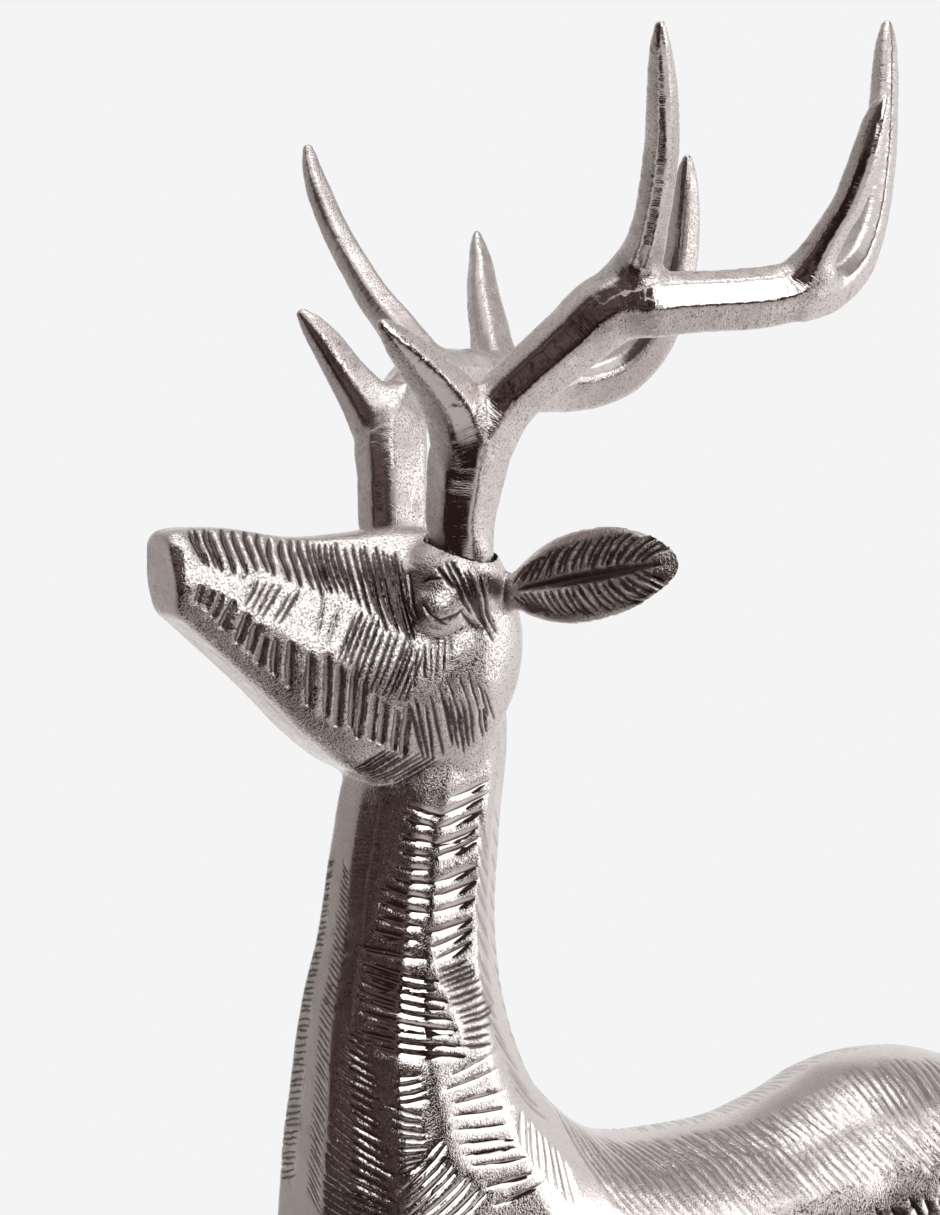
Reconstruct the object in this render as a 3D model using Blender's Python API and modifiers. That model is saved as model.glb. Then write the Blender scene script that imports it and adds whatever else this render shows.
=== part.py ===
"""Cast reindeer figurine: a standing reindeer with its head raised, two antlers set into
sockets on its crown, and a low oval base under its hooves.

Metres, +Z up. The reindeer faces -X, its left side is -Y, and the origin is the centre of
the base's underside.

The figure is drawn in millimetres, as it measures at a withers height of DRAWN_WITHERS.
Every drawn length goes through the scale UNIT, so a change of WITHERS_HEIGHT keeps the pose,
the proportions and the carving.
"""

import math

import bmesh
import bpy
import numpy as np
from mathutils import Matrix, Vector
from mathutils.bvhtree import BVHTree

MM = 0.001

# The figure's own size: hoof to withers, and the same length in the drawing below
WITHERS_HEIGHT = 225.0 * MM
DRAWN_WITHERS = 225.0
UNIT = WITHERS_HEIGHT / DRAWN_WITHERS

# Base plate
BASE_THICKNESS = 10.0 * MM
BASE_MARGIN_ENDS = 22.0 * MM
BASE_MARGIN_SIDES = 18.0 * MM
BASE_EDGE_ROUND = 3.0 * MM
BASE_OVAL_POWER = 2.8
BASE_SIDES = 56

# Fits between pieces
HOOF_GAP = 0.3 * MM
SOCKET_DEPTH = 5.0 * MM
SOCKET_SIDE_GAP = 0.6 * MM
SOCKET_FLOOR_GAP = 0.4 * MM
SOCKET_FLARE_HEIGHT = 12.0
SOCKET_FLARE = 1.6

# Fineness of the faceted solids
RING_POINTS = 32
STEPS_PER_STATION = 5
SKIN_VOXEL = 1.3 * MM
ANTLER_VOXEL = 1.1 * MM
SKIN_TRIANGLES = 3400
CARVED_TRIANGLES = 7400
ANTLER_TRIANGLES = 700
SOCKET_SIDES = 20
CREASE_ANGLE = math.radians(38)

# Trunk, neck and head are drawn as stations, each one cross-section through the figure:
# dorsal point (x, z), ventral point (x, z), half width, where the section is widest as a
# share of the way up from the ventral point, and the roundness of its upper and lower half.
TRUNK_STATIONS = [
    ((-67, 376), (-97, 356), 14.0, 0.50, 2.0, 2.0),
    ((-62.5, 352), (-102, 338), 18.0, 0.50, 2.0, 2.4),
    ((-64.5, 325), (-105.5, 320), 18.0, 0.50, 2.0, 2.8),
    ((-66, 300), (-111.5, 298), 19.0, 0.50, 2.0, 3.0),
    ((-63.5, 278), (-116.5, 280), 22.0, 0.48, 2.0, 3.0),
    ((-56.5, 258), (-120, 259), 26.0, 0.46, 2.0, 3.0),
    ((-47, 246), (-122.5, 236), 30.0, 0.45, 2.0, 2.8),
    ((-34, 236), (-121.5, 206), 33.5, 0.45, 2.0, 2.4),
    ((-19, 231.5), (-104, 176), 35.5, 0.45, 2.1, 2.1),
    ((-2, 230.5), (-68, 156), 36.0, 0.45, 2.1, 2.0),
    ((18, 231), (-24, 149), 36.0, 0.45, 2.1, 2.0),
    ((36, 235.5), (20, 150), 36.0, 0.48, 2.1, 2.0),
    ((51, 240.5), (48, 157), 36.5, 0.50, 2.1, 2.0),
    ((68, 241.5), (70, 165), 36.0, 0.52, 2.1, 2.0),
    ((86, 239), (88, 179), 32.0, 0.52, 2.1, 2.0),
    ((102, 232.5), (104, 195), 24.0, 0.52, 2.1, 2.0),
    ((112, 224), (113, 205), 14.0, 0.50, 2.0, 2.0),
    ((116, 217), (116, 210), 6.0, 0.50, 2.0, 2.0),
]
HEAD_STATIONS = [
    ((-154, 396), (-153.2, 385), 9.0, 0.50, 3.0, 3.0),
    ((-154.2, 400), (-152.3, 380.5), 11.3, 0.50, 3.0, 3.0),
    ((-151, 401.8), (-148.5, 376), 12.6, 0.50, 2.4, 2.7),
    ((-137, 401.5), (-132, 360), 14.8, 0.50, 2.0, 2.6),
    ((-122, 399.3), (-119, 346.5), 18.0, 0.50, 1.8, 2.5),
    ((-107, 400), (-106, 337), 21.5, 0.52, 1.8, 2.4),
    ((-94, 401.5), (-91, 333.5), 24.5, 0.55, 1.8, 2.3),
    ((-82, 400.5), (-77, 337), 25.5, 0.55, 1.9, 2.2),
    ((-70, 394.5), (-67, 350), 22.5, 0.55, 2.0, 2.0),
    ((-63, 384), (-62.5, 362), 15.0, 0.50, 2.0, 2.0),
]

# Legs, left side: centre (x, y, z), half length along X, half width along Y. The base is centred
# between the front and hind hooves, and the drawing's ground is where the soles stand.
HOOF_HEIGHT_Z = BASE_THICKNESS + HOOF_GAP
HOOF_X = 85.0
HOOF_Y = 24.0
HOOF_HALF_LENGTH = 10.5
HOOF_HALF_WIDTH = 7.8
DRAWN_GROUND = 10.3
FRONT_LEG = [
    ((-84, -20, 218), 20.0, 11.0),
    ((-82, -24, 192), 21.0, 12.5),
    ((-78, -26, 166), 16.0, 11.0),
    ((-76, -25, 140), 11.0, 9.0),
    ((-79, -24, 112), 8.6, 7.6),
    ((-81, -24, 90), 8.8, 7.8),
    ((-80, -24, 68), 6.6, 6.2),
    ((-78, -24, 40), 6.2, 5.8),
    ((-78, -24, 28), 7.2, 6.6),
    ((-81, -24, 18), 7.2, 6.4),
    ((-HOOF_X, -HOOF_Y, DRAWN_GROUND), HOOF_HALF_LENGTH, HOOF_HALF_WIDTH),
]
HIND_LEG = [
    ((74, -20, 218), 27.0, 11.0),
    ((73, -25, 192), 28.0, 13.0),
    ((70, -27, 168), 23.0, 12.5),
    ((69, -26, 148), 16.5, 10.5),
    ((79, -25, 124), 11.0, 8.4),
    ((94, -24, 102), 9.0, 7.6),
    ((100, -24, 89), 8.8, 7.4),
    ((97, -24, 70), 6.8, 6.4),
    ((93, -24, 41), 6.4, 6.0),
    ((92, -24, 29), 7.4, 6.8),
    ((89, -24, 19), 7.2, 6.4),
    ((HOOF_X, -HOOF_Y, DRAWN_GROUND), HOOF_HALF_LENGTH, HOOF_HALF_WIDTH),
]
TAIL = [
    ((104, 0, 236), 6.0, 7.0),
    ((114, 0, 230), 6.5, 8.0),
    ((121, 0, 217), 5.5, 7.5),
    ((122, 0, 203), 4.0, 5.5),
    ((120, 0, 194), 1.6, 2.2),
]

# Left ear: root, tip, and along it a share of the length, half width, thickness, cup depth.
EAR_ROOT = (-72.0, -20.0, 385.0)
EAR_TIP = (-64.0, -82.0, 395.5)
EAR_STATIONS = [
    (-0.08, 4.5, 6.5, 0.0),
    (0.08, 4.8, 5.5, 0.3),
    (0.22, 7.2, 4.6, 1.6),
    (0.40, 9.8, 4.0, 2.8),
    (0.60, 10.2, 3.8, 3.0),
    (0.78, 8.6, 3.4, 2.4),
    (0.92, 5.0, 3.0, 1.0),
    (1.00, 1.6, 2.0, 0.2),
]

EYE_CENTRE = (-89.5, -20.0, 385.0)
EYE_RADII = (6.6, 3.6, 5.2)

# Antlers: each branch is a list of (x, y, z, radius). The stem's first point is the seat on the
# crown. The two are cast from different patterns, so the right one isn't a mirror of the left.
LEFT_ANTLER = {
    "stem": [(-82.5, -17, 395, 7.7), (-83, -18.5, 403, 8.3), (-83.5, -20.5, 410.5, 9.0),
             (-83.5, -23, 417, 9.6), (-83, -26, 423.5, 9.8)],
    "brow_tine": [(-83.5, -25, 422.5, 9.0), (-90, -28, 430.5, 7.8), (-97, -30, 436.2, 6.4),
                  (-103.5, -32, 441.2, 4.8), (-108.5, -33.5, 445.2, 3.3), (-112.2, -34.5, 448.2, 1.6)],
    "beam": [(-83, -26, 423.5, 9.0), (-78.5, -30, 430, 7.0), (-73, -35, 437, 6.4), (-66, -42, 445.5, 6.4),
             (-59, -50, 451.5, 7.0), (-52.5, -56, 453.7, 7.4)],
    "tall_tine": [(-59.5, -53, 454, 7.4), (-58.2, -58.5, 462.3, 6.8), (-60, -66, 470, 5.6), (-63.4, -73, 477.5, 4.8),
                  (-67, -79, 484.6, 4.4), (-71.6, -86, 491.3, 3.9), (-75, -91, 497.2, 3.2), (-78, -95, 501.7, 2.2),
                  (-79.7, -97, 504.6, 1.2)],
    "back_beam": [(-52.5, -56, 453.7, 7.4), (-43, -60, 454, 7.2), (-32.5, -63, 454.7, 7.2),
                  (-23, -66, 456.2, 7.1), (-17.7, -69, 459.5, 6.5)],
    "outer_tine": [(-20.5, -68, 458.5, 6.3), (-19, -72, 464.5, 4.6), (-18, -76, 470, 3.8), (-17.2, -80, 475.3, 3.5),
                   (-17.2, -84, 481, 3.4), (-17.2, -87, 486.5, 3.3), (-16.7, -89, 492.2, 3.0),
                   (-15.9, -90.5, 496.3, 2.0), (-15.5, -91, 498, 1.0)],
    "inner_tine": [(-20, -67, 456, 6.8), (-12.3, -66, 457.7, 6.1), (-3.5, -64, 462.3, 5.3), (2.7, -62, 468.3, 4.7),
                   (9.2, -58.5, 478.3, 4.3), (13.9, -55, 489.3, 4.1), (17.3, -52, 498.5, 4.0),
                   (20.3, -49, 508, 3.8), (22.8, -46.5, 518, 3.3), (24.3, -45, 524.5, 2.4), (25.2, -44, 528.8, 1.3)],
}
RIGHT_ANTLER = {
    "stem": [(-85, 17, 395.5, 7.9), (-84.8, 18, 402.5, 8.4), (-84, 20, 412.5, 8.9), (-82.8, 23, 420.5, 9.4),
             (-81.8, 25, 426, 9.4)],
    "brow_tine": [(-82.3, 25, 425.4, 8.8), (-85.8, 28, 432, 7.1), (-90.2, 31, 439.6, 5.4), (-95.3, 33, 447.4, 3.9),
                  (-99.2, 34.5, 452.6, 2.6), (-101.6, 35.5, 456, 1.3)],
    "beam": [(-81.5, 25, 426, 8.8), (-75.2, 31, 433.3, 7.6), (-66, 39, 440, 7.0), (-54.3, 47, 442.3, 7.1),
             (-42, 55, 442.8, 7.3)],
    "tall_tine": [(-62, 44, 441, 6.8), (-64, 53, 448, 6.8), (-64.7, 62, 455.7, 6.5), (-66.1, 71, 465, 6.1),
                  (-67.8, 79, 474, 5.7), (-69.1, 86, 481.5, 5.1), (-70.6, 92, 489, 4.4), (-72, 97, 498.4, 3.3),
                  (-72.5, 101, 507, 2.4), (-72.6, 103, 512.3, 1.4)],
    "back_beam": [(-42, 55, 442.8, 7.3), (-28.8, 61, 442, 7.5), (-15.7, 66, 441, 7.7), (-3.4, 69, 441, 7.6)],
    "outer_tine": [(-29.3, 62, 442, 6.8), (-26.6, 70, 450.7, 5.4), (-25.3, 75, 458.3, 5.0), (-23.6, 80, 465.6, 4.7),
                   (-22.5, 84, 472, 4.3), (-21, 88, 478.7, 3.5), (-20, 91, 485.2, 2.5), (-19.4, 93, 489.4, 1.4)],
    "inner_tine": [(-3.4, 69, 441, 7.6), (7, 67, 442, 7.3), (16, 64, 446, 6.8), (21.6, 60, 452.3, 6.3),
                   (25, 56, 460.6, 5.7), (26.7, 52, 470, 5.3), (27, 49, 480.3, 4.8), (26, 46, 488.8, 4.4),
                   (24.5, 43, 497.2, 3.6), (23.2, 41, 503.6, 2.6), (22.7, 40, 507.5, 1.4)],
}

# Carving: rows of short gouges, each row between two guide lines that lie on the left side of
# the figure. A gouge runs from a point of the first line to the same share of the second line,
# and is snapped to the skin. Each row: starts, ends, number of gouges, width, depth.
GOUGE_ROWS = {
    "jaw": (
        [(-148.5, -13, 388), (-139.5, -14, 385.5), (-130, -15.5, 375.5), (-121, -18, 372.5), (-113.5, -19.5, 368),
         (-105.5, -21, 360), (-96, -23, 359.5)],
        [(-148.5, -12, 383), (-141.5, -13, 377.5), (-129.5, -13.5, 365), (-121.5, -16, 359), (-114.5, -17, 354),
         (-105.5, -18.5, 349.5), (-92, -19, 345)],
        13, 2.6, 1.4,
    ),
    "brow": (
        [(-144, -4.5, 401), (-133.5, -5.5, 399), (-120, -4.5, 398), (-108.5, -8, 396.5), (-101, -11.5, 395)],
        [(-146, -12, 393), (-133, -12.5, 391), (-119, -14.5, 387), (-107.5, -20, 378.5), (-99, -22.5, 375)],
        9, 2.4, 1.1,
    ),
    "temple": (
        [(-88.5, -20.5, 388), (-82.5, -22, 386), (-75.5, -21.5, 385)],
        [(-83, -23.5, 380), (-77.5, -25, 371), (-72, -23, 361)],
        4, 2.6, 1.2,
    ),
    "neck_rear_high": (
        [(-87, -18, 334), (-91.5, -17.5, 320), (-92.5, -18.5, 306.5), (-89.5, -20, 291.5)],
        [(-73.5, -16, 337.5), (-77, -16.5, 323), (-78, -17, 309.5), (-80.5, -18, 293.5)],
        9, 3.0, 1.3,
    ),
    "neck_rear_low": (
        [(-90.5, -24.5, 264), (-90.5, -26.5, 256), (-89.5, -28.5, 246.5), (-80.5, -30.5, 235.5)],
        [(-76, -21, 267.5), (-73, -23, 257.5), (-70, -25, 248), (-63.5, -26, 240.5)],
        6, 3.0, 1.3,
    ),
    "neck_middle": (
        [(-99, -15, 334), (-101.5, -15, 322.5), (-103.5, -13.5, 315.5), (-106.5, -14, 303.5), (-108.5, -14, 295)],
        [(-91, -17.5, 331), (-94.5, -17.5, 319.5), (-95.5, -18, 312), (-95.5, -19, 299.5), (-93.5, -20.5, 290)],
        9, 2.6, 1.2,
    ),
    "neck_sweep": (
        [(-110, -15.5, 289), (-112, -15.5, 281), (-114, -15.5, 274)],
        [(-93, -21, 284), (-92, -22, 276), (-92, -23, 269.5)],
        4, 2.6, 1.2,
    ),
    "breast": (
        [(-115.5, -15.5, 268), (-117.5, -15.5, 260), (-119, -15, 250), (-120, -15.5, 240)],
        [(-105, -22.5, 262), (-105, -24.5, 253), (-105, -27, 243), (-105.5, -28.5, 233)],
        6, 2.6, 1.2,
    ),
    "back": (
        [(-42.5, -13, 237.5), (-7.5, -7, 230.5), (22, -7, 232), (40, -9, 236.5), (70, -9, 241), (98, -8, 233)],
        [(-34, -26, 223), (0, -25, 219), (29, -25, 220), (50, -28, 223), (80, -28, 227), (105, -20, 219)],
        13, 3.4, 1.5,
    ),
    "flank_high": (
        [(-98, -33, 220), (-50, -34, 210), (0, -35, 207), (50, -36, 211), (90, -31, 216)],
        [(-88, -36, 199), (-39, -37, 188), (11, -37, 184), (61, -39, 189), (99, -27, 196)],
        14, 3.4, 1.5,
    ),
    "flank_low": (
        [(-96, -34, 192), (-52, -35, 184), (0, -35, 180), (50, -37, 184), (86, -35, 190)],
        [(-86, -36, 172), (-42, -30, 166), (10, -30, 160), (60, -39, 164), (92, -33, 170)],
        13, 3.4, 1.5,
    ),
}

METAL = (0.78, 0.77, 0.76, 1.0)


def to_world(points):
    """Drawn points in millimetres as metres in the frame, with the drawing's ground on the base."""
    return np.asarray(points, float) * UNIT + [0, 0, HOOF_HEIGHT_Z - DRAWN_GROUND * UNIT]


def catmull_rom(stations, steps):
    """Rows of numbers on a Catmull-Rom curve through the stations, steps rows from one to the next."""
    rows = np.array(stations, float)
    ends = np.vstack([2 * rows[0] - rows[1], rows, 2 * rows[-1] - rows[-2]])
    out = []
    for i in range(1, len(ends) - 2):
        before, here, after, beyond = ends[i - 1], ends[i], ends[i + 1], ends[i + 2]
        for step in range(steps):
            t = step / steps
            out.append(
                0.5
                * (
                    2 * here
                    + (after - before) * t
                    + (2 * before - 5 * here + 4 * after - beyond) * t**2
                    + (3 * here - before - 3 * after + beyond) * t**3
                )
            )
    out.append(rows[-1])
    return np.array(out)


def loft(name, rings):
    """A closed mesh through rings of equal length in metres, capped flat at both ends, faces outwards."""
    rings = np.asarray(rings)
    count, around, _ = rings.shape
    mesh = bpy.data.meshes.new(name)
    bm = bmesh.new()
    verts = [[bm.verts.new(point) for point in ring] for ring in rings]
    for lower, upper in zip(verts, verts[1:]):
        for k in range(around):
            n = (k + 1) % around
            bm.faces.new((lower[k], lower[n], upper[n], upper[k]))
    bm.faces.new(verts[0])
    bm.faces.new(verts[-1])
    bmesh.ops.recalc_face_normals(bm, faces=bm.faces)
    bm.to_mesh(mesh)
    bm.free()
    obj = bpy.data.objects.new(name, mesh)
    drawing.objects.link(obj)
    return obj


def signed_power(value, power):
    return np.sign(value) * np.abs(value) ** power


def station_rings(stations):
    """Rings for dorsal and ventral outlines: each half of a section is a quarter pair of superellipses."""
    flat = [(*dorsal, *ventral, *rest) for dorsal, ventral, *rest in stations]
    angle = np.linspace(0, 2 * math.pi, RING_POINTS, endpoint=False)
    rings = []
    for dx, dz, vx, vz, half, share, upper, lower in catmull_rom(flat, STEPS_PER_STATION):
        dorsal, ventral = np.array([dx, 0, dz]), np.array([vx, 0, vz])
        middle = ventral + share * (dorsal - ventral)
        roundness = np.where(np.sin(angle) >= 0, upper, lower)
        side = signed_power(np.cos(angle), 2 / roundness) * half
        rise = signed_power(np.sin(angle), 2 / roundness)
        reach = np.where(rise[:, None] >= 0, dorsal - middle, middle - ventral)
        rings.append(middle + rise[:, None] * reach + np.outer(side, [0, 1, 0]))
    return to_world(rings)


def limb_rings(stations, side=1):
    """Level oval rings down a leg or the tail. side is -1 for the right-hand copy."""
    flat = [(*centre, length, width) for centre, length, width in stations]
    angle = np.linspace(0, 2 * math.pi, RING_POINTS // 2, endpoint=False)
    rings = []
    for x, y, z, length, width in catmull_rom(flat, STEPS_PER_STATION):
        ring = np.stack([x + length * np.cos(angle), side * y + width * np.sin(angle), np.full_like(angle, z)], 1)
        rings.append(ring)
    return to_world(rings)


def ear_rings(side=1):
    """Leaf-shaped rings from root to tip, bent into a cup whose hollow looks forwards."""
    flip = np.array([1, side, 1])
    root, tip = np.array(EAR_ROOT) * flip, np.array(EAR_TIP) * flip
    along = (tip - root) / np.linalg.norm(tip - root)
    forward = np.array([-1.0, 0, 0])
    forward -= forward.dot(along) * along
    forward /= np.linalg.norm(forward)
    up = np.cross(along, forward) * side
    angle = np.linspace(0, 2 * math.pi, RING_POINTS // 2, endpoint=False)
    rings = []
    for share, half, thick, cup in catmull_rom(EAR_STATIONS, STEPS_PER_STATION):
        centre = root + share * (tip - root)
        across = half * np.cos(angle)
        out = thick / 2 * np.sin(angle) + cup * np.cos(angle) ** 2
        rings.append(centre + np.outer(across, up) + np.outer(out, forward))
    return to_world(rings)


def eye_ball(side):
    bpy.ops.mesh.primitive_uv_sphere_add(segments=20, ring_count=12, radius=1.0)
    ball = bpy.context.object
    ball.name = "eye"
    x, y, z = EYE_CENTRE
    centre = Vector(to_world((x, side * y, z)))
    ball.data.transform(Matrix.LocRotScale(centre, None, Vector(EYE_RADII) * UNIT))
    put_in(ball, drawing)
    return ball


def put_in(obj, collection):
    for owner in obj.users_collection:
        owner.objects.unlink(obj)
    collection.objects.link(obj)


def fuse(name, pieces, voxel, triangles, smoothing):
    """One closed skin round overlapping pieces: a voxel remesh, softened and thinned to so many triangles."""
    bm = bmesh.new()
    for piece in pieces:
        bm.from_mesh(piece.data)
        bpy.data.objects.remove(piece)
    mesh = bpy.data.meshes.new(name)
    bm.to_mesh(mesh)
    bm.free()
    obj = bpy.data.objects.new(name, mesh)
    model.objects.link(obj)
    remesh = obj.modifiers.new("Skin", "REMESH")
    remesh.mode = "VOXEL"
    remesh.voxel_size = voxel
    smooth = obj.modifiers.new("Soften", "SMOOTH")
    smooth.factor = 0.5
    smooth.iterations = smoothing
    settle(obj)
    thin_out(obj, triangles)
    return obj


def thin_out(obj, triangles):
    """Collapses edges until about so many triangles are left."""
    now = sum(len(face.vertices) - 2 for face in obj.data.polygons)
    thin = obj.modifiers.new("Thin", "DECIMATE")
    thin.use_collapse_triangulate = True
    thin.ratio = min(1.0, triangles / now)
    settle(obj)


def settle(obj):
    """Turns the object's modifiers into its own mesh."""
    graph = bpy.context.evaluated_depsgraph_get()
    graph.update()
    mesh = bpy.data.meshes.new_from_object(obj.evaluated_get(graph))
    obj.modifiers.clear()
    old = obj.data
    obj.data = mesh
    bpy.data.meshes.remove(old)


def cut(obj, cutter):
    """Takes the cutter away from the object. Gouges that touch each other are allowed."""
    subtract = obj.modifiers.new("Cut", "BOOLEAN")
    subtract.operation = "DIFFERENCE"
    subtract.solver = "EXACT"
    subtract.use_self = True
    subtract.object = cutter
    settle(obj)


def antler_tube(name, points):
    """A round tapering branch: a curve through (x, y, z, radius) points, made a capped mesh."""
    curve = bpy.data.curves.new(name, "CURVE")
    curve.dimensions = "3D"
    curve.bevel_depth = UNIT
    curve.bevel_resolution = 3
    curve.use_fill_caps = True
    path = catmull_rom(points, STEPS_PER_STATION)
    spline = curve.splines.new("POLY")
    spline.points.add(len(path) - 1)
    for point, row in zip(spline.points, path):
        point.co = (*to_world(row[:3]), 1)
        point.radius = row[3]
    tube = bpy.data.objects.new(name, curve)
    drawing.objects.link(tube)
    bpy.context.view_layer.update()
    graph = bpy.context.evaluated_depsgraph_get()
    mesh = bpy.data.meshes.new_from_object(tube.evaluated_get(graph))
    bpy.data.objects.remove(tube)
    bm = bmesh.new()
    bm.from_mesh(mesh)
    bmesh.ops.remove_doubles(bm, verts=bm.verts, dist=0.01 * MM)
    bmesh.ops.recalc_face_normals(bm, faces=bm.faces)
    bm.to_mesh(mesh)
    bm.free()
    solid = bpy.data.objects.new(name, mesh)
    drawing.objects.link(solid)
    return solid


def foot_frame(branches):
    """An antler's seat on the crown, and the direction in which its foot rises out of the socket."""
    seat = Vector(to_world(branches["stem"][0][:3]))
    above = Vector(to_world(branches["stem"][1][:3]))
    return seat, (above - seat).normalized()


def make_antler(name, branches):
    """One antler: its branches grown together, with a flat foot just clear of the socket's floor."""
    seat, rise = foot_frame(branches)
    x, y, z, radius = branches["stem"][0]
    plug = [(*(Vector((x, y, z)) - rise * SOCKET_DEPTH * 2 / UNIT), radius)]
    pieces = [antler_tube(key, plug + pts if key == "stem" else pts) for key, pts in branches.items()]
    antler = fuse(name, pieces, ANTLER_VOXEL * UNIT / MM, ANTLER_TRIANGLES, 3)
    foot = seat - rise * (SOCKET_DEPTH - SOCKET_FLOOR_GAP)
    bm = bmesh.new()
    bm.from_mesh(antler.data)
    everything = bm.verts[:] + bm.edges[:] + bm.faces[:]
    bmesh.ops.bisect_plane(bm, geom=everything, dist=0.01 * MM, plane_co=foot, plane_no=-rise, clear_outer=True)
    bmesh.ops.holes_fill(bm, edges=[edge for edge in bm.edges if edge.is_boundary])
    bmesh.ops.triangulate(bm, faces=bm.faces)
    bm.to_mesh(antler.data)
    bm.free()
    return antler


drawing = bpy.data.collections.new("construction")
model = bpy.data.collections.new("reindeer_figurine")


def along(line, share):
    """The point at a share of the way through a list of points."""
    place = share * (len(line) - 1)
    first = min(int(place), len(line) - 2)
    return Vector(line[first]).lerp(Vector(line[first + 1]), place - first)


def add_gouge(bm, tree, start, end, width, depth):
    """One spindle lying on the skin from start to end: pointed ends, diamond sections between them."""
    stations = 1 + round((end - start).length / (9.0 * MM))
    frames = []
    for step in range(stations + 2):
        place, normal, _, _ = tree.find_nearest(start.lerp(end, step / (stations + 1)))
        frames.append((place, normal))
    tips = [bm.verts.new(place + normal * 0.25 * MM) for place, normal in (frames[0], frames[-1])]
    rings = []
    run = (frames[-1][0] - frames[0][0]).normalized()
    for step in range(1, stations + 1):
        place, normal = frames[step]
        fullness = math.sin(math.pi * step / (stations + 1)) ** 0.5
        across = run.cross(normal).normalized() * (width / 2 * fullness + 0.1 * MM)
        ring = (place + across + normal * 0.1 * MM, place - normal * depth * fullness)
        ring += (place - across + normal * 0.1 * MM, place + normal * 2 * depth)
        rings.append([bm.verts.new(corner) for corner in ring])
    for k in range(4):
        n = (k + 1) % 4
        bm.faces.new((tips[0], rings[0][n], rings[0][k]))
        bm.faces.new((tips[1], rings[-1][k], rings[-1][n]))
        for lower, upper in zip(rings, rings[1:]):
            bm.faces.new((lower[k], lower[n], upper[n], upper[k]))


def carve(skin):
    """Cuts every row of gouges into both sides of the skin."""
    tree = BVHTree.FromPolygons([v.co[:] for v in skin.data.vertices], [p.vertices[:] for p in skin.data.polygons])
    bm = bmesh.new()
    for starts, ends, count, width, depth in GOUGE_ROWS.values():
        for k in range(count):
            share = k / (count - 1)
            for side in (1, -1):
                flip = Vector((1, side, 1))
                start = Vector(to_world(along(starts, share) * flip))
                end = Vector(to_world(along(ends, share) * flip))
                add_gouge(bm, tree, start, end, width * UNIT, depth * UNIT)
    bmesh.ops.recalc_face_normals(bm, faces=bm.faces)
    mesh = bpy.data.meshes.new("gouges")
    bm.to_mesh(mesh)
    bm.free()
    cutter = bpy.data.objects.new("gouges", mesh)
    drawing.objects.link(cutter)
    cut(skin, cutter)
    bpy.data.objects.remove(cutter)


def cut_socket(skin, branches):
    """A round pocket in the crown for one antler's foot, opening out with the stem above the seat."""
    seat, rise = foot_frame(branches)
    reach = SOCKET_FLARE_HEIGHT * UNIT
    radius = branches["stem"][0][3] * UNIT + SOCKET_SIDE_GAP
    length = reach + SOCKET_DEPTH
    bm = bmesh.new()
    turn = rise.to_track_quat("Z", "Y").to_matrix().to_4x4()
    place = Matrix.Translation(seat + rise * (reach - SOCKET_DEPTH) / 2) @ turn
    size = {"radius1": radius, "radius2": radius + SOCKET_FLARE * UNIT, "depth": length}
    bmesh.ops.create_cone(bm, cap_ends=True, segments=SOCKET_SIDES, matrix=place, **size)
    mesh = bpy.data.meshes.new("socket")
    bm.to_mesh(mesh)
    bm.free()
    cutter = bpy.data.objects.new("socket", mesh)
    drawing.objects.link(cutter)
    cut(skin, cutter)
    bpy.data.objects.remove(cutter)


def make_reindeer():
    """Head, ears, neck, trunk, legs and tail: one casting, carved and socketed."""
    pieces = [loft("trunk", station_rings(TRUNK_STATIONS)), loft("head", station_rings(HEAD_STATIONS))]
    pieces.append(loft("tail", limb_rings(TAIL)))
    for side in (1, -1):
        pieces.append(loft("front_leg", limb_rings(FRONT_LEG, side)))
        pieces.append(loft("hind_leg", limb_rings(HIND_LEG, side)))
        pieces.append(loft("ear", ear_rings(side)))
        pieces.append(eye_ball(side))
    skin = fuse("reindeer", pieces, SKIN_VOXEL * UNIT / MM, SKIN_TRIANGLES, 4)
    stand_flat(skin)
    carve(skin)
    thin_out(skin, CARVED_TRIANGLES)
    cut_socket(skin, LEFT_ANTLER)
    cut_socket(skin, RIGHT_ANTLER)
    return skin


def stand_flat(skin):
    """Levels the soles of the hooves just above the base."""
    bm = bmesh.new()
    bm.from_mesh(skin.data)
    sole = Vector((0, 0, HOOF_HEIGHT_Z))
    everything = bm.verts[:] + bm.edges[:] + bm.faces[:]
    bmesh.ops.bisect_plane(bm, geom=everything, dist=0.01 * MM, plane_co=sole, plane_no=(0, 0, -1), clear_outer=True)
    bmesh.ops.holes_fill(bm, edges=[edge for edge in bm.edges if edge.is_boundary])
    bmesh.ops.triangulate(bm, faces=bm.faces)
    bm.to_mesh(skin.data)
    bm.free()


def make_base():
    """A low oval plate with a rounded upper edge, sized from the hooves' span and its margins."""
    half_length = (HOOF_X + HOOF_HALF_LENGTH) * UNIT + BASE_MARGIN_ENDS
    half_width = (HOOF_Y + HOOF_HALF_WIDTH) * UNIT + BASE_MARGIN_SIDES
    angle = np.linspace(0, 2 * math.pi, BASE_SIDES, endpoint=False)
    rings = []
    for inset, height in base_profile():
        x = signed_power(np.cos(angle), 2 / BASE_OVAL_POWER) * (half_length - inset)
        y = signed_power(np.sin(angle), 2 / BASE_OVAL_POWER) * (half_width - inset)
        rings.append(np.stack([x, y, np.full_like(x, height)], 1))
    base = loft("base", rings)
    put_in(base, model)
    return base


def base_profile():
    """Inset and height of the plate's rings: straight foot, then a quarter round, then the flat top."""
    steps = [0, 22.5, 45, 67.5, 90]
    round_up = [(1 - math.cos(math.radians(a)), 1 - math.sin(math.radians(a))) for a in steps]
    top = [(BASE_EDGE_ROUND * inset, BASE_THICKNESS - BASE_EDGE_ROUND * drop) for inset, drop in round_up]
    return [(0.8 * MM, 0.0), (0.0, 0.8 * MM)] + top


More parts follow.
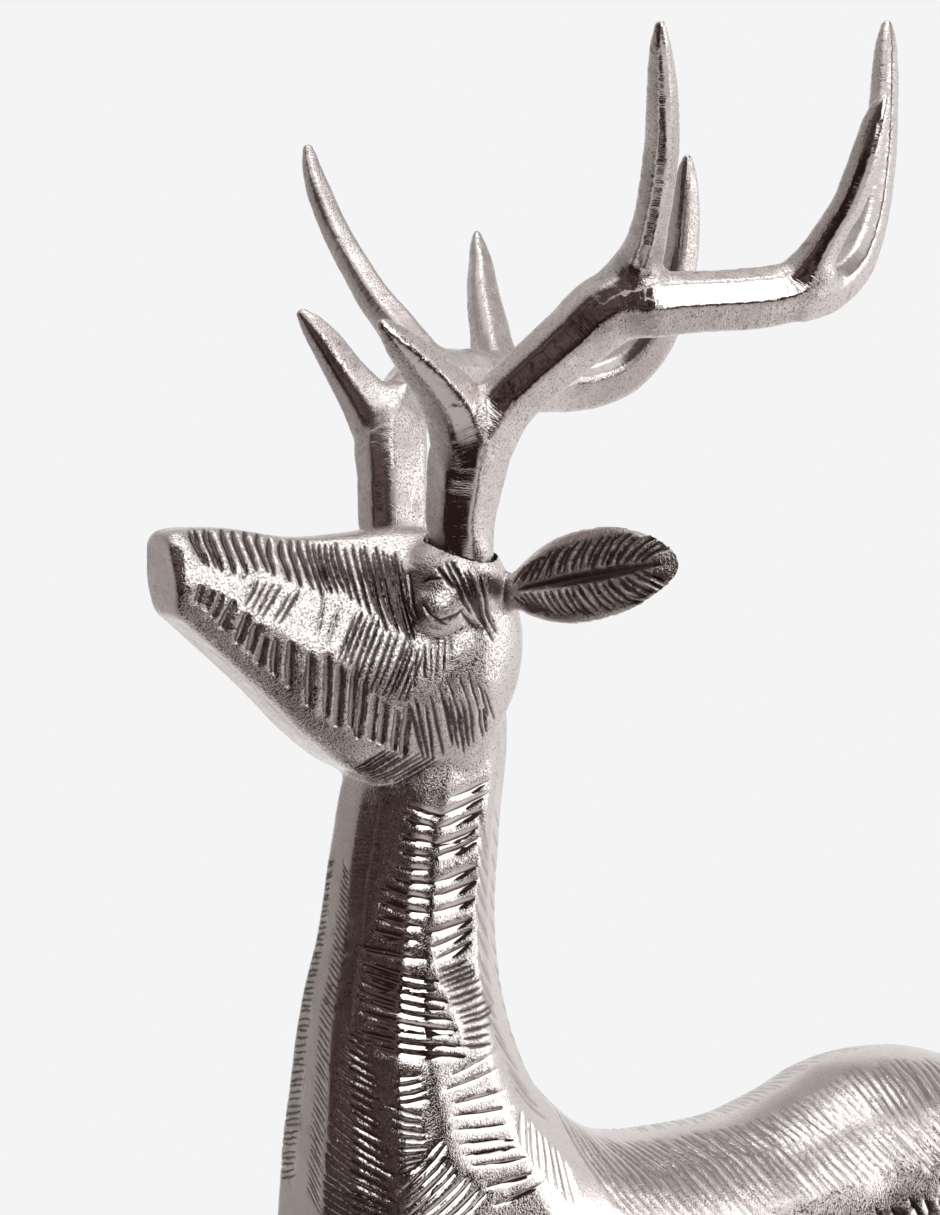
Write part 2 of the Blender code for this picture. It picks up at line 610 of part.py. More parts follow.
def finish(obj, metal):
    """Triangulates, shades smooth up to the crease angle and gives the object its material."""
    bm = bmesh.new()
    bm.from_mesh(obj.data)
    bmesh.ops.dissolve_degenerate(bm, dist=0.02 * MM, edges=bm.edges)
    bmesh.ops.triangulate(bm, faces=bm.faces)
    bmesh.ops.recalc_face_normals(bm, faces=bm.faces)
    bm.to_mesh(obj.data)
    bm.free()
    obj.data.polygons.foreach_set("use_smooth", [True] * len(obj.data.polygons))
    obj.data.set_sharp_from_angle(angle=CREASE_ANGLE)
    obj.data.materials.clear()
    obj.data.materials.append(metal)


def cast_metal(name, colour, roughness):
    metal = bpy.data.materials.new(name)
    metal.use_nodes = True
    surface = metal.node_tree.nodes["Principled BSDF"]
    surface.inputs["Base Color"].default_value = colour
    surface.inputs["Metallic"].default_value = 1.0
    surface.inputs["Roughness"].default_value = roughness
    metal.diffuse_color = colour
    return metal


def main():
    for obj in list(bpy.data.objects):
        bpy.data.objects.remove(obj)
    for collection in (drawing, model):
        bpy.context.scene.collection.children.link(collection)
    finish(make_reindeer(), cast_metal("polished_cast_metal_body", METAL, 0.16))
    finish(make_antler("antler_left", LEFT_ANTLER), cast_metal("polished_cast_metal_antler_left", METAL, 0.2))
    finish(make_antler("antler_right", RIGHT_ANTLER), cast_metal("polished_cast_metal_antler_right", METAL, 0.2))
    finish(make_base(), cast_metal("polished_cast_metal_base", METAL, 0.18))
    bpy.data.collections.remove(drawing)


main()
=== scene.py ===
"""Looks of the cast reindeer figurine: the carved body, two filed antlers and the oval base.

Every length in the drawing is in millimetres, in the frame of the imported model: the reindeer
faces -X, its left side is -Y, and the base's underside is at Z = 0.
"""

import math

import bpy
import numpy as np
from mathutils import Matrix, Vector


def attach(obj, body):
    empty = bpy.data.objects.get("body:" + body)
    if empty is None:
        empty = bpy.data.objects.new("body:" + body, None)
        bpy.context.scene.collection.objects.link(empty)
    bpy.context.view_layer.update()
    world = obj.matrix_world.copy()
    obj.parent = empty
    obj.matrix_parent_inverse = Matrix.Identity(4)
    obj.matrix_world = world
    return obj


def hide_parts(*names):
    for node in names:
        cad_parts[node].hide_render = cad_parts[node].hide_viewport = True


MM = 0.001
SKIN_VOXEL = 0.7
BLEND_VOXEL = 1.0
ANTLER_VOXEL = 0.42
FINE_ABOVE = 232.0
FINE_BEFORE = -40.0
SKIN_TRIANGLES = 194000
ANTLER_TRIANGLES = 110000
CORNER_STEPS = 16
FORK_STEPS = 160
HOOF_SOLE = 10.3
# Below this height the neck and trunk are buffed, coming in over so many millimetres
BUFFED_BELOW = 342
BUFF_FADE = 12

# Trunk and neck, from the crown down and back: x and z of the dorsal and the ventral point, half
# width, where the section is widest, and the roundness of its upper and lower half.
TRUNK_STATIONS = [
    (-67, 376, -97, 356, 14, 0.5, 2, 2),
    (-62.5, 352, -105.8, 338, 18, 0.5, 2, 2.1),
    (-64.5, 325, -110, 320, 18, 0.5, 2, 2.1),
    (-66, 300, -113.5, 298, 19, 0.5, 2, 2.2),
    (-63.5, 278, -117.5, 280, 22, 0.48, 2, 2.3),
    (-56.5, 258, -120, 259, 26, 0.46, 2, 2.4),
    (-47, 246, -122.3, 236, 30, 0.45, 2, 2.4),
    (-34, 236, -121.3, 206, 33.5, 0.45, 2, 2.3),
    (-19, 231.5, -104, 176, 35.5, 0.45, 2.1, 2.1),
    (-2, 230.5, -68, 156, 36, 0.45, 2.1, 2),
    (18, 231, -24, 149, 36, 0.45, 2.1, 2),
    (36, 235.5, 20, 150, 36, 0.48, 2.1, 2),
    (51, 240.5, 48, 157, 36.5, 0.5, 2.1, 2),
    (68, 241.5, 70, 165, 36, 0.52, 2.1, 2),
    (86, 239, 88, 179, 32, 0.52, 2.1, 2),
    (102, 232.5, 104, 195, 24, 0.52, 2.1, 2),
    (112, 224, 113, 205, 14, 0.5, 2, 2),
    (116, 217, 116, 210, 6, 0.5, 2, 2),
]
HEAD_STATIONS = [
    (-154, 396, -153.2, 385, 9, 0.5, 3, 3),
    (-154.2, 400, -152.3, 380.5, 11.3, 0.5, 3, 3),
    (-151, 401.8, -148.5, 376, 12.6, 0.5, 2.4, 2.6),
    (-137, 401.5, -132, 360, 14.8, 0.5, 2, 2.4),
    (-122, 399.3, -119, 346.5, 18, 0.5, 1.9, 2.4),
    (-107, 400, -106, 337, 21.5, 0.52, 2, 2.4),
    (-94, 401.5, -91, 333.5, 24, 0.55, 2.2, 2.3),
    (-82, 400.5, -77, 337, 24.8, 0.55, 2.5, 2.2),
    (-70, 394.5, -67, 350, 20.5, 0.55, 2.4, 2),
    (-63, 384, -62.5, 362, 12.5, 0.5, 2.2, 2),
]
# Flat planes that run along the neck and the head: the way each looks, in degrees from the
# underside round to the back, how deep it is cut at the first station and at the last one where
# it has its full strength, and the strength at each station.
NECK_PLANES = [(0, 0.7, 1.5), (30, 0.6, 0.9), (61, 0.6, 0.8), (99, 0.8, 1.0), (138, 0.6, 0.8)]
NECK_STRENGTH = [1] * 7 + [0.6, 0.2] + [0] * 9
HEAD_PLANES = [(0, 1.6, 1.6), (68, 0.9, 1.1), (103, 0.8, 1.5), (142, 0.6, 0.6)]
HEAD_STRENGTH = [0, 0.3, 0.7, 1, 1, 1, 1, 0.6, 0.2, 0]
# The muzzle's front corner is filed off: the way the plane looks, and how far out it lies
MUZZLE_PLANE = ((-0.60, -0.775, 0.20), 178.6)

# Legs and tail: x, y and z of the centre, half length along X, half width along Y
FRONT_LEG = [
    (-84, -20, 218, 20, 11),
    (-82, -24, 192, 21, 12.5),
    (-78, -26, 166, 16, 11),
    (-76, -25, 140, 11, 9),
    (-79, -24, 112, 8.6, 7.6),
    (-81, -24, 90, 8.8, 7.8),
    (-80, -24, 68, 6.6, 6.2),
    (-78, -24, 40, 6.2, 5.8),
    (-78, -24, 28, 7.2, 6.6),
    (-81, -24, 18, 7.2, 6.4),
    (-85, -24, 10.3, 10.5, 7.8),
]
HIND_LEG = [
    (74, -20, 218, 27, 11),
    (73, -25, 192, 28, 13),
    (70, -27, 168, 23, 12.5),
    (69, -26, 148, 16.5, 10.5),
    (79, -25, 124, 11, 8.4),
    (94, -24, 102, 9, 7.6),
    (100, -24, 89, 8.8, 7.4),
    (97, -24, 70, 6.8, 6.4),
    (93, -24, 41, 6.4, 6),
    (92, -24, 29, 7.4, 6.8),
    (89, -24, 19, 7.2, 6.4),
    (85, -24, 10.3, 10.5, 7.8),
]
TAIL = [
    (104, 0, 236, 6, 7),
    (114, 0, 230, 6.5, 8),
    (121, 0, 217, 5.5, 7.5),
    (122, 0, 203, 4, 5.5),
    (120, 0, 194, 1.6, 2.2),
]

# Ear: root, tip, and along it a share of the length, half width, thickness, depth of the cup
EAR_ROOT = (-72.0, -20.0, 385.0)
EAR_TIP = (-64.0, -82.0, 395.5)
EAR_STATIONS = [
    (-0.08, 4.5, 6.5, 0.0),
    (0.08, 4.8, 5.5, 0.3),
    (0.22, 7.2, 4.6, 2.4),
    (0.40, 9.8, 3.8, 4.6),
    (0.60, 10.8, 3.4, 5.0),
    (0.78, 9.6, 3.0, 4.0),
    (0.92, 6.4, 2.8, 2.0),
    (1.00, 2.6, 2.0, 0.3),
]
EYE_CENTRE = (-90.8, -20.9, 382.4)
EYE_RADII = (7.4, 5.2, 6.7)
# The crown's boss round each antler's foot
BOSS_CENTRE = (-84.5, -16.0, 388.0)
BOSS_RADII = (13.8, 10.9, 11.8)

# Antlers: each branch is a list of (x, y, z, radius); the stem's first point is its seat
LEFT_ANTLER = {
    "stem": [(-82.5, -17, 395, 7.8), (-83.8, -18.5, 403.2, 8.6), (-83.9, -20.5, 410.5, 9.2),
        (-84.1, -23, 417.2, 9.9), (-84.1, -26, 422.9, 9.5)],
    "brow_tine": [(-84.9, -25, 421.3, 9.3), (-90.2, -28, 429.9, 7.7), (-96.8, -30, 436.2, 6.2),
        (-103.2, -32, 441.2, 4.9), (-108.2, -33.5, 445, 3.6), (-111.7, -34.5, 447.7, 2.1)],
    "beam": [(-83.2, -26, 423.2, 9.6), (-78.7, -30, 430.9, 8), (-73.6, -35, 437.4, 7.7),
        (-66.6, -42, 445.7, 8.1), (-60.7, -50, 452.9, 8.8), (-54.2, -56, 453.2, 7.6)],
    "tall_tine": [(-60.7, -50, 452.9, 8.6), (-58.3, -53, 458.7, 6.7), (-58, -58, 463.9, 5.4),
        (-61, -66, 469.7, 4.3), (-63.9, -73, 477.3, 4.2), (-66.8, -79, 484.7, 4), (-71.5, -86, 491.4, 3.7),
        (-75.2, -91, 497.2, 3.1), (-78.2, -95, 501, 2.4), (-79.7, -97, 504.2, 1.5)],
    "back_beam": [(-54.2, -56, 453.2, 7.8), (-43, -60, 454.2, 7.3), (-32.4, -63, 454.9, 7.3),
        (-23.2, -66, 456.5, 7.1), (-17.7, -69, 459.5, 6.3)],
    "outer_tine": [(-20.4, -68, 459, 6.3), (-18.8, -72, 464.6, 4.7), (-17.8, -76, 470.1, 4),
        (-16.8, -80, 475.3, 3.9), (-16.9, -84, 481, 3.8), (-17, -87, 486.5, 3.7), (-16.5, -89, 492.3, 3.2),
        (-16.2, -90.5, 495.8, 2.3), (-15.8, -91, 497.5, 1.3)],
    "inner_tine": [(-19.6, -67, 456.3, 6.8), (-12, -66, 457.9, 6.1), (-3.5, -64, 462.3, 5.4),
        (2.7, -62, 468.3, 4.8), (9.2, -58.5, 478.3, 4.4), (13.9, -55, 489.3, 4.2), (17.3, -52, 498.5, 4.1),
        (20.3, -49, 507.9, 3.9), (22.8, -46.5, 518, 3.4), (24.3, -45, 524, 2.7), (25.2, -44, 527.8, 1.7)],
}
RIGHT_ANTLER = {
    "stem": [(-85, 17, 395.5, 7.9), (-84.8, 18, 402.3, 9), (-83.8, 20, 412.7, 9.3), (-82.7, 23, 420.6, 9.7),
        (-81.7, 25, 425.9, 9.5)],
    "brow_tine": [(-82.3, 25, 424.3, 9.3), (-86.4, 28, 432, 7.4), (-91.1, 31, 439.6, 5.6),
        (-96.4, 33, 448.2, 4.5), (-100.3, 34.5, 453.6, 3.3), (-102.2, 35.5, 456, 2)],
    "beam": [(-81.4, 25, 425.9, 9.3), (-75.2, 31, 433.3, 8.3), (-66.1, 39, 440, 7.7),
        (-54.3, 47, 442.1, 7.8), (-42.1, 55, 442.8, 7.8)],
    "tall_tine": [(-61.2, 44, 441.8, 7.2), (-61.7, 53, 449.2, 6.5), (-62.7, 62, 456.8, 5.7),
        (-65.1, 71, 465.1, 5.1), (-67.1, 79, 474.1, 4.7), (-68.3, 86, 481.8, 4.4), (-69.5, 92, 489.7, 4.2),
        (-71, 97, 498.5, 3.9), (-71.7, 101, 506.4, 3), (-72, 103, 511.8, 2)],
    "back_beam": [(-42.1, 55, 442.8, 7.8), (-28.8, 61, 441.9, 8.1), (-15.7, 66, 441, 8.4),
        (-3.4, 69, 441.1, 8.4)],
    "outer_tine": [(-28.6, 62, 442.5, 8), (-26.3, 70, 450.7, 6.9), (-24.9, 75, 458.3, 6.1),
        (-23.8, 80, 465.6, 5.5), (-22.5, 84, 472.1, 4.9), (-20.8, 88, 478.7, 4), (-20.1, 91, 484.5, 2.9),
        (-19.4, 93, 488.5, 1.7)],
    "inner_tine": [(-3.4, 69, 441.1, 8.4), (6.9, 67, 442.1, 8), (15.9, 64, 445.9, 7.6),
        (21.6, 60, 452.3, 6.9), (25.1, 56, 460.6, 6.3), (26.7, 52, 470.1, 5.8), (27.1, 49, 480.3, 5.3),
        (26, 46, 488.8, 4.8), (24.5, 43, 497.2, 4), (23.2, 41, 503.6, 3), (22.7, 40, 506.9, 1.8)],
}
# Filed flats along the branches: the way each looks round the branch, and its share of the radius
LEFT_FLATS = [(-59, 0.87), (-4, 0.93), (54, 0.85), (120, 0.92), (180, 0.90), (240, 0.92)]
RIGHT_FLATS = [(-62, 0.88), (-20, 0.955), (38, 0.84), (110, 0.92), (175, 0.90), (235, 0.92)]
# The flat left bright from the file lies between these angles round each branch
LEFT_BRIGHT = (-28, 22)
RIGHT_BRIGHT = (-36, -4)
SOCKET_DEPTH = 5.0
SOCKET_SIDE_GAP = 0.45
SOCKET_FLOOR_GAP = 0.4
SOCKET_REACH = 17.0
SOCKET_FLARE = 1.6 / SOCKET_REACH
# The way the antlers' flats are counted from: towards the camera
FLATS_FACE = (-0.47, -0.88, 0.08)
# The base: the hooves' reach, the margin round them, its height, its edge's radius, and the power
# of its outline
HOOF_SPREAD = (95.5, 31.8)
BASE_MARGIN = (22, 18)
BASE_HEIGHT = 10
BASE_EDGE = 3
BASE_POWER = 2.8

# Chisel cuts: fullness of the section (1 is a V, 2 a scoop), how pointed the ends are, how bright
# the cut is left, and how dark it is painted: partly patina, partly painted shade in the cut
CUTS = {
    "scoop": (2.2, 0.5, 1, 0),
    "slot": (2.6, 0.18, 0, 0.3),
    "vee": (1.4, 0.4, 0.2, 0.9),
    "groove": (1.3, 0.45, 0.3, 0.38),
    "scratch": (1.4, 0.5, 0.7, 0.1),
}
# Chisel work on the left side, mirrored on the right: a row of strokes between two guide lines.
# Number, width, depth, kind of cut, bow sideways, then the line of starts and the line of ends.
STROKE_ROWS = {
    "jaw": (18, 2.3, 1, "slot", 0,
        [(-148, -13, 389), (-142, -13, 387), (-137, -14, 382), (-133, -15, 376), (-126, -16, 375),
         (-117, -19, 370), (-111, -20, 367), (-106, -21, 360), (-100, -22, 358)],
        [(-149, -12, 384), (-145, -12, 381), (-139, -12, 374), (-133, -12, 369), (-125, -13, 362),
         (-116, -15, 355), (-111, -17, 352), (-105, -17, 349), (-99, -17, 347)]),
    "brow_front": (12, 2, 0.85, "vee", 1,
        [(-148, -4, 401), (-143, -3, 401), (-135, -2, 401), (-127, -3, 399), (-120, -4, 398)],
        [(-147, -12, 393), (-143, -12, 392), (-135, -12, 391), (-129, -13, 390), (-121, -15, 387)]),
    "brow_rear": (16, 1.55, 0.7, "vee", 1,
        [(-118, -4, 398), (-113, -6, 398), (-107, -8, 397), (-102, -11, 396), (-99, -14, 395)],
        [(-119, -15, 386), (-114, -16, 385), (-107, -19, 380), (-101, -21, 376), (-98, -22, 376)]),
    "eye_front": (4, 1.1, 0.45, "vee", 0.5,
        [(-101, -13, 395), (-99, -15.5, 394), (-97, -18, 391)],
        [(-99.5, -21.5, 375), (-97.5, -21.5, 377), (-97, -22, 381)]),
    "eye_ring": (6, 0.8, 0.2, "scratch", 0,
        [(-97, -19.5, 386.5), (-96, -19, 390), (-94.5, -20.5, 393)],
        [(-99.5, -19, 384.5), (-99, -18, 389.5), (-95.5, -16.5, 394)]),
    "temple": (6, 1.5, 0.7, "vee", 0.3,
        [(-92.6, -23.3, 392), (-90.9, -24.6, 392.7), (-89.4, -25.4, 393), (-87.7, -26.3, 392.6),
         (-85.7, -27, 391.7), (-83.1, -27.3, 391)],
        [(-88.1, -25, 386.4), (-84.9, -24.6, 381), (-82.3, -23.3, 380.5), (-80, -23.8, 377),
         (-78, -24.2, 374.4), (-76.2, -23.5, 374.4)]),
    "lower_lid": (2, 1.4, 0.55, "vee", 0.7,
        [(-96.5, -22.5, 384), (-93.5, -24.3, 379.2)], [(-91, -24.8, 378.6), (-86.6, -25.6, 382.4)]),
    "lid_tail": (1, 1.1, 0.4, "vee", 0.6, [(-87, -25.6, 381.4)], [(-81, -24, 377.2)]),
    "upper_lid": (1, 1.2, 0.45, "vee", -0.5, [(-94.4, -21, 388.3)], [(-89.8, -24.8, 389.4)]),
    "under_eye": (6, 1.1, 0.4, "groove", 0,
        [(-98, -22.3, 373), (-94.5, -22.6, 374.7), (-92, -23, 375.6), (-89, -23.7, 375)],
        [(-98.8, -22.7, 363.4), (-95.2, -23.4, 364.5), (-93, -23.7, 364.6), (-89.7, -24.3, 368)]),
    "cheek_front": (6, 1, 0.35, "vee", 0,
        [(-134, -13, 390), (-124, -14, 387)], [(-138, -14, 384), (-130, -15, 379)]),
    "cheek_middle": (2, 1.1, 0.35, "groove", 0,
        [(-119, -15, 385), (-115, -16, 384)], [(-122, -17, 376), (-119, -18, 374)]),
    "cheek_rear": (13, 1, 0.4, "vee", 0,
        [(-111, -17, 382), (-106, -19, 380), (-100, -21, 375), (-96, -23, 372)],
        [(-117, -19, 370), (-112, -20, 366), (-106, -21, 362), (-101, -22, 360)]),
    "cheek_back": (6, 1, 0.3, "vee", 0.3,
        [(-92, -23, 363), (-86, -24, 368), (-80, -24, 362)],
        [(-86, -20, 352), (-82, -24, 357), (-75, -20, 354)]),
    "jaw_corner": (11, 1.3, 0.5, "vee", 0,
        [(-100, -22, 361), (-96, -23, 360), (-92, -23, 363), (-88, -24, 360), (-84, -23, 359),
         (-80, -23, 358)],
        [(-94, -18, 346), (-91, -18, 345), (-86, -19, 347), (-83, -19, 347), (-80, -19, 348),
         (-77, -19, 351)]),
    "under_jaw": (11, 1, 0.3, "vee", 0,
        [(-110, -12, 343), (-106, -13, 341), (-99, -13, 339)],
        [(-104, -17, 348), (-97, -18, 347), (-89, -18, 345)]),
    "chin": (14, 0.8, 0.12, "scratch", 0,
        [(-144, -3, 374), (-130, -3, 362), (-118, -4, 350)],
        [(-138, -8, 368), (-126, -9, 357), (-114, -9, 346)]),
    "rear_high": (11, 3.3, 0.34, "scoop", 0.5,
        [(-87, -18, 335), (-90, -17, 328), (-91, -17, 320), (-91, -18, 310), (-94, -18, 302),
         (-91, -19, 295)],
        [(-73, -16, 339), (-77, -16, 331), (-77, -16, 323), (-77, -16, 312), (-78, -16, 304),
         (-79, -17, 298)]),
    "rear_fill": (13, 1.3, 0.3, "vee", 0.3,
        [(-91, -19, 292), (-88, -20, 287), (-85, -20, 280), (-84, -21, 273)],
        [(-81, -18, 294), (-78, -18, 288), (-74, -16, 281), (-76, -19, 272)]),
    "rear_low": (10, 2, 0.3, "scoop", 0.4,
        [(-90, -24, 267), (-90, -25, 260), (-90, -27, 253), (-88, -28, 246), (-80, -30, 235)],
        [(-74, -20, 270), (-72, -22, 260), (-70, -25, 250), (-68, -26, 244), (-63, -27, 237)]),
    "shoulder": (8, 2.2, 0.3, "scoop", 0.3,
        [(-68, -21, 254), (-62, -21, 248), (-56, -21, 242)],
        [(-70, -26, 246), (-64, -27, 237), (-55, -28, 228)]),
    "chest": (9, 1.6, 0.35, "scoop", 0.3,
        [(-106, -26, 243), (-103, -28, 236), (-95, -30, 232)],
        [(-94, -26, 253), (-89, -28, 246), (-81, -29, 239)]),
    "nape": (15, 2.2, 0.25, "groove", 0.4,
        [(-77, -16, 330), (-77, -16, 320), (-78, -16, 308), (-78, -17, 296), (-77, -18, 283),
         (-72, -18, 269), (-68, -19, 259)],
        [(-74, -15, 322), (-73, -14, 312), (-73, -13, 299), (-73, -15, 287), (-71, -16, 273),
         (-62, -14, 257), (-57, -16, 248)]),
    "nape_back": (15, 2, 0.25, "groove", 0.3,
        [(-70, -13, 330), (-70, -12, 310), (-69, -11, 290), (-64, -11, 272), (-55, -11, 256)],
        [(-65, -4, 322), (-66, -3, 301), (-64, -3, 281), (-57, -3, 262), (-48, -3, 248)]),
    "middle_high": (11, 2.6, 0.34, "scoop", 0.3,
        [(-96, -14, 334), (-97, -13, 326), (-99, -13, 319), (-102, -12, 313), (-104, -13, 307),
         (-108, -10, 299)],
        [(-89, -18, 331), (-91, -17, 324), (-91, -17, 317), (-92, -18, 310), (-94, -18, 304),
         (-94, -19, 296)]),
    "sweep": (9, 2.6, 0.4, "scoop", 1,
        [(-109, -11, 296), (-109, -14, 290), (-111, -14, 284), (-111, -16, 277)],
        [(-90, -20, 290), (-89, -21, 283), (-86, -21, 277), (-85, -22, 271)]),
    "middle_low": (4, 2, 0.3, "scoop", 0.3,
        [(-104, -21, 269), (-104, -23, 262)], [(-97, -23, 269), (-96, -24, 263)]),
    "breast": (9, 1.1, 0.35, "vee", 0,
        [(-105, -22, 262), (-105, -25, 252), (-104, -26, 246)],
        [(-98, -24, 259), (-96, -26, 251), (-97, -26, 248)]),
    "front_low": (22, 1.2, 0.4, "scratch", 0.3,
        [(-113, -12, 281), (-115, -12, 272), (-116, -13, 264), (-117, -12, 256), (-118, -11, 246),
         (-119, -11, 237)],
        [(-108, -18, 275), (-107, -20, 267), (-107, -22, 257), (-105, -25, 246), (-106, -26, 238),
         (-107, -27, 232)]),
    "facet": (26, 0.7, 0.12, "scratch", 0,
        [(-107, -6, 333), (-110, -6, 320), (-112, -8, 308)],
        [(-101, -11, 333), (-102, -11, 320), (-105, -12, 308)]),
    "throat": (52, 0.9, 0.22, "vee", 0,
        [(-110, -3, 318), (-113, -3, 300), (-117, -3, 281), (-120, -4, 259), (-122, -4, 238)],
        [(-109, -7, 316), (-112, -9, 298), (-116, -10, 279), (-119, -12, 256), (-121, -13, 234)]),
    "back_high": (60, 1.8, 0.35, "groove", 0.4,
        [(-52, -8, 246), (-36, -6, 238), (-20, -4, 233), (-3, -3, 231), (15, -4, 231), (30, -5, 234),
         (45, -6, 238), (62, -6, 241), (80, -6, 240), (98, -5, 234)],
        [(-45, -22, 232), (-30, -20, 228), (-14, -17, 227), (2, -17, 227), (18, -17, 227), (32, -19, 229),
         (46, -22, 231), (60, -26, 230), (78, -24, 232), (98, -16, 226)]),
    "back_low": (44, 1.8, 0.35, "groove", 0.4,
        [(-46, -20, 234), (-27, -17, 229), (-8, -15, 228), (9, -15, 228), (24, -16, 229), (38, -19, 231),
         (52, -24, 231), (70, -24, 231)],
        [(-38, -29, 222), (-20, -28, 218), (-2, -28, 217), (14, -28, 217), (30, -30, 218), (46, -32, 220),
         (60, -34, 219), (78, -30, 222)]),
    "flank_high": (36, 2.6, 0.4, "scoop", 0.6,
        [(-92, -34, 224), (-50, -34, 214), (0, -34, 210), (50, -36, 213), (88, -30, 216)],
        [(-84, -36, 204), (-40, -36, 193), (10, -36, 190), (60, -38, 194), (96, -26, 196)]),
    "flank_low": (34, 2.6, 0.4, "scoop", 0.6,
        [(-94, -34, 196), (-52, -35, 186), (0, -35, 182), (50, -37, 186), (84, -35, 190)],
        [(-86, -36, 176), (-44, -30, 166), (8, -30, 160), (58, -39, 166), (90, -33, 170)]),
}

# Nickel plate as it looks buffed, and the dark painted in its cuts and pits: dirt and patina, with painted
# shade in the cuts
NICKEL = "#DCD4D1"
DIRT_AND_SHADE = "#2C1F1D"
# The studio's white cloth, and the shade under the piece
WHITE = "#F2F1F0"
SHADE = "#3A3130"

# The photograph's camera: place in metres, the way it looks, and its lens
CAMERA_PLACE = (-0.284, -0.400, 0.415)
CAMERA_TURN = math.radians(28)
CAMERA_DIP = math.radians(4.4)
LENS = 52.44
AWAY = (math.sin(CAMERA_TURN), math.cos(CAMERA_TURN), 0)
RIGHT = (math.cos(CAMERA_TURN), -math.sin(CAMERA_TURN), 0)


# Shapes


def smooth_rows(stations, steps):
    """Rows on a Catmull-Rom curve: every row is a cubic blend of the four stations round it."""
    rows = np.array(stations, float)
    ends = np.vstack([2 * rows[0] - rows[1], rows, 2 * rows[-1] - rows[-2]])
    place = np.arange((len(rows) - 1) * steps + 1) / steps
    first = np.minimum(place.astype(int), len(rows) - 2)
    t = (place - first)[:, None]
    a, b, c, d = ends[first], ends[first + 1], ends[first + 2], ends[first + 3]
    return 0.5 * (2 * b + (c - a) * t + (2 * a - 5 * b + 4 * c - d) * t**2 + (3 * b - a - 3 * c + d) * t**3)


def signed_power(value, power):
    return np.sign(value) * np.abs(value) ** power


def round_angles(around):
    """Evenly spaced angles once round, as one row."""
    return np.linspace(0, 2 * math.pi, around, endpoint=False)[None, :]


def columns(rows):
    """The columns of a table, each as a column."""
    return (rows[:, k : k + 1] for k in range(rows.shape[1]))


def hashed(cells, seed):
    """A number from 0 to 1 for each whole-numbered cell, the same on every run."""
    x, y, z = (cells[..., axis].astype(np.int64) for axis in range(3))
    mixed = (x * 73856093) ^ (y * 19349663) ^ (z * 83492791) ^ (seed * 2654435761)
    mixed = (mixed ^ (mixed >> 13)) * 1274126177
    return ((mixed ^ (mixed >> 16)) & 0xFFFFFF) / 0xFFFFFF


def wander(points, size, seed):
    """Smooth noise from -1 to 1 at points: hashed cell corners, size apart, blended by smoothstep."""
    place = points / size
    cell = np.floor(place)
    t = place - cell
    t = t * t * (3 - 2 * t)
    total = np.zeros(len(points))
    for corner in np.ndindex(2, 2, 2):
        weight = np.prod(np.where(corner, t, 1 - t), axis=1)
        total += weight * hashed(cell + corner, seed)
    return 2 * total - 1


def tube(rings):
    """Points and triangles of a closed skin through rings, with a pole point at each end."""
    count, around, _ = rings.shape
    points = np.vstack([rings.reshape(-1, 3), rings[0].mean(0), rings[-1].mean(0)])
    i, k = np.meshgrid(np.arange(count - 1), np.arange(around), indexing="ij")
    n = (k + 1) % around
    lower = np.stack([i * around + k, i * around + n, (i + 1) * around + n], -1).reshape(-1, 3)
    upper = np.stack([i * around + k, (i + 1) * around + n, (i + 1) * around + k], -1).reshape(-1, 3)
    k = np.arange(around)
    n = (k + 1) % around
    last = (count - 1) * around
    first_cap = np.stack([n, k, np.full(around, count * around)], 1)
    last_cap = np.stack([last + k, last + n, np.full(around, count * around + 1)], 1)
    return points, np.vstack([lower, upper, first_cap, last_cap])


def section_rings(stations, planes, strength, steps=24, around=144):
    """Rings through dorsal and ventral outlines, with flat planes cut along them.

    A section's side is the half width times cos to the power 2/n, its rise the half height times
    sin to the power 2/n. Then each plane pushes back what lies past it in its own direction."""
    rows = smooth_rows([(*station, power) for station, power in zip(stations, strength)], steps)
    dx, dz, vx, vz, half, share, upper, lower, power = columns(rows)
    angle = round_angles(around)
    span = np.hypot(dx - vx, dz - vz)
    roundness = np.where(np.sin(angle) >= 0, upper, lower)
    side = signed_power(np.cos(angle), 2 / roundness) * half
    rise = signed_power(np.sin(angle), 2 / roundness)
    rise = rise * np.where(rise >= 0, (1 - share) * span, share * span)
    whole = np.flatnonzero(np.array(strength) == 1)
    way = np.clip((np.arange(len(rows)) / steps - whole[0]) / max(whole[-1] - whole[0], 1), 0, 1)[:, None]
    for degrees, first_depth, last_depth in planes:
        depth = (first_depth + (last_depth - first_depth) * way) * np.clip(power, 0, 1)
        for hand in (1, -1):
            across, down = hand * math.sin(math.radians(degrees)), -math.cos(math.radians(degrees))
            reach = side * across + rise * down
            over = np.maximum(reach - reach.max(axis=1, keepdims=True) + depth, 0)
            side, rise = side - over * across, rise - over * down
    up = np.concatenate([(dx - vx) / span, np.zeros_like(dx), (dz - vz) / span], 1)
    middle = np.concatenate([vx + share * (dx - vx), np.zeros_like(dx), vz + share * (dz - vz)], 1)
    return middle[:, None] + rise[..., None] * up[:, None] + side[..., None] * np.array([0, 1, 0])


def limb_rings(stations, side=1, steps=14, around=72):
    """Level oval rings down a leg or the tail: length times cos along X, width times sin along Y."""
    rows = smooth_rows(stations, steps)
    x, y, z, length, width = columns(rows)
    angle = round_angles(around)
    level = np.broadcast_to(z, (len(rows), around))
    return np.stack([x + length * np.cos(angle), side * y + width * np.sin(angle), level], -1)


def ear_frame(side):
    """The ear's root, and its directions along, across (upwards) and out of its hollow."""
    flip = np.array([1, side, 1])
    root, tip = np.array(EAR_ROOT) * flip, np.array(EAR_TIP) * flip
    along = (tip - root) / np.linalg.norm(tip - root)
    forward = np.array([-1.0, 0, 0]) + along[0] * along
    forward /= np.linalg.norm(forward)
    up = np.cross(along, forward) * side
    return root, tip, up, forward


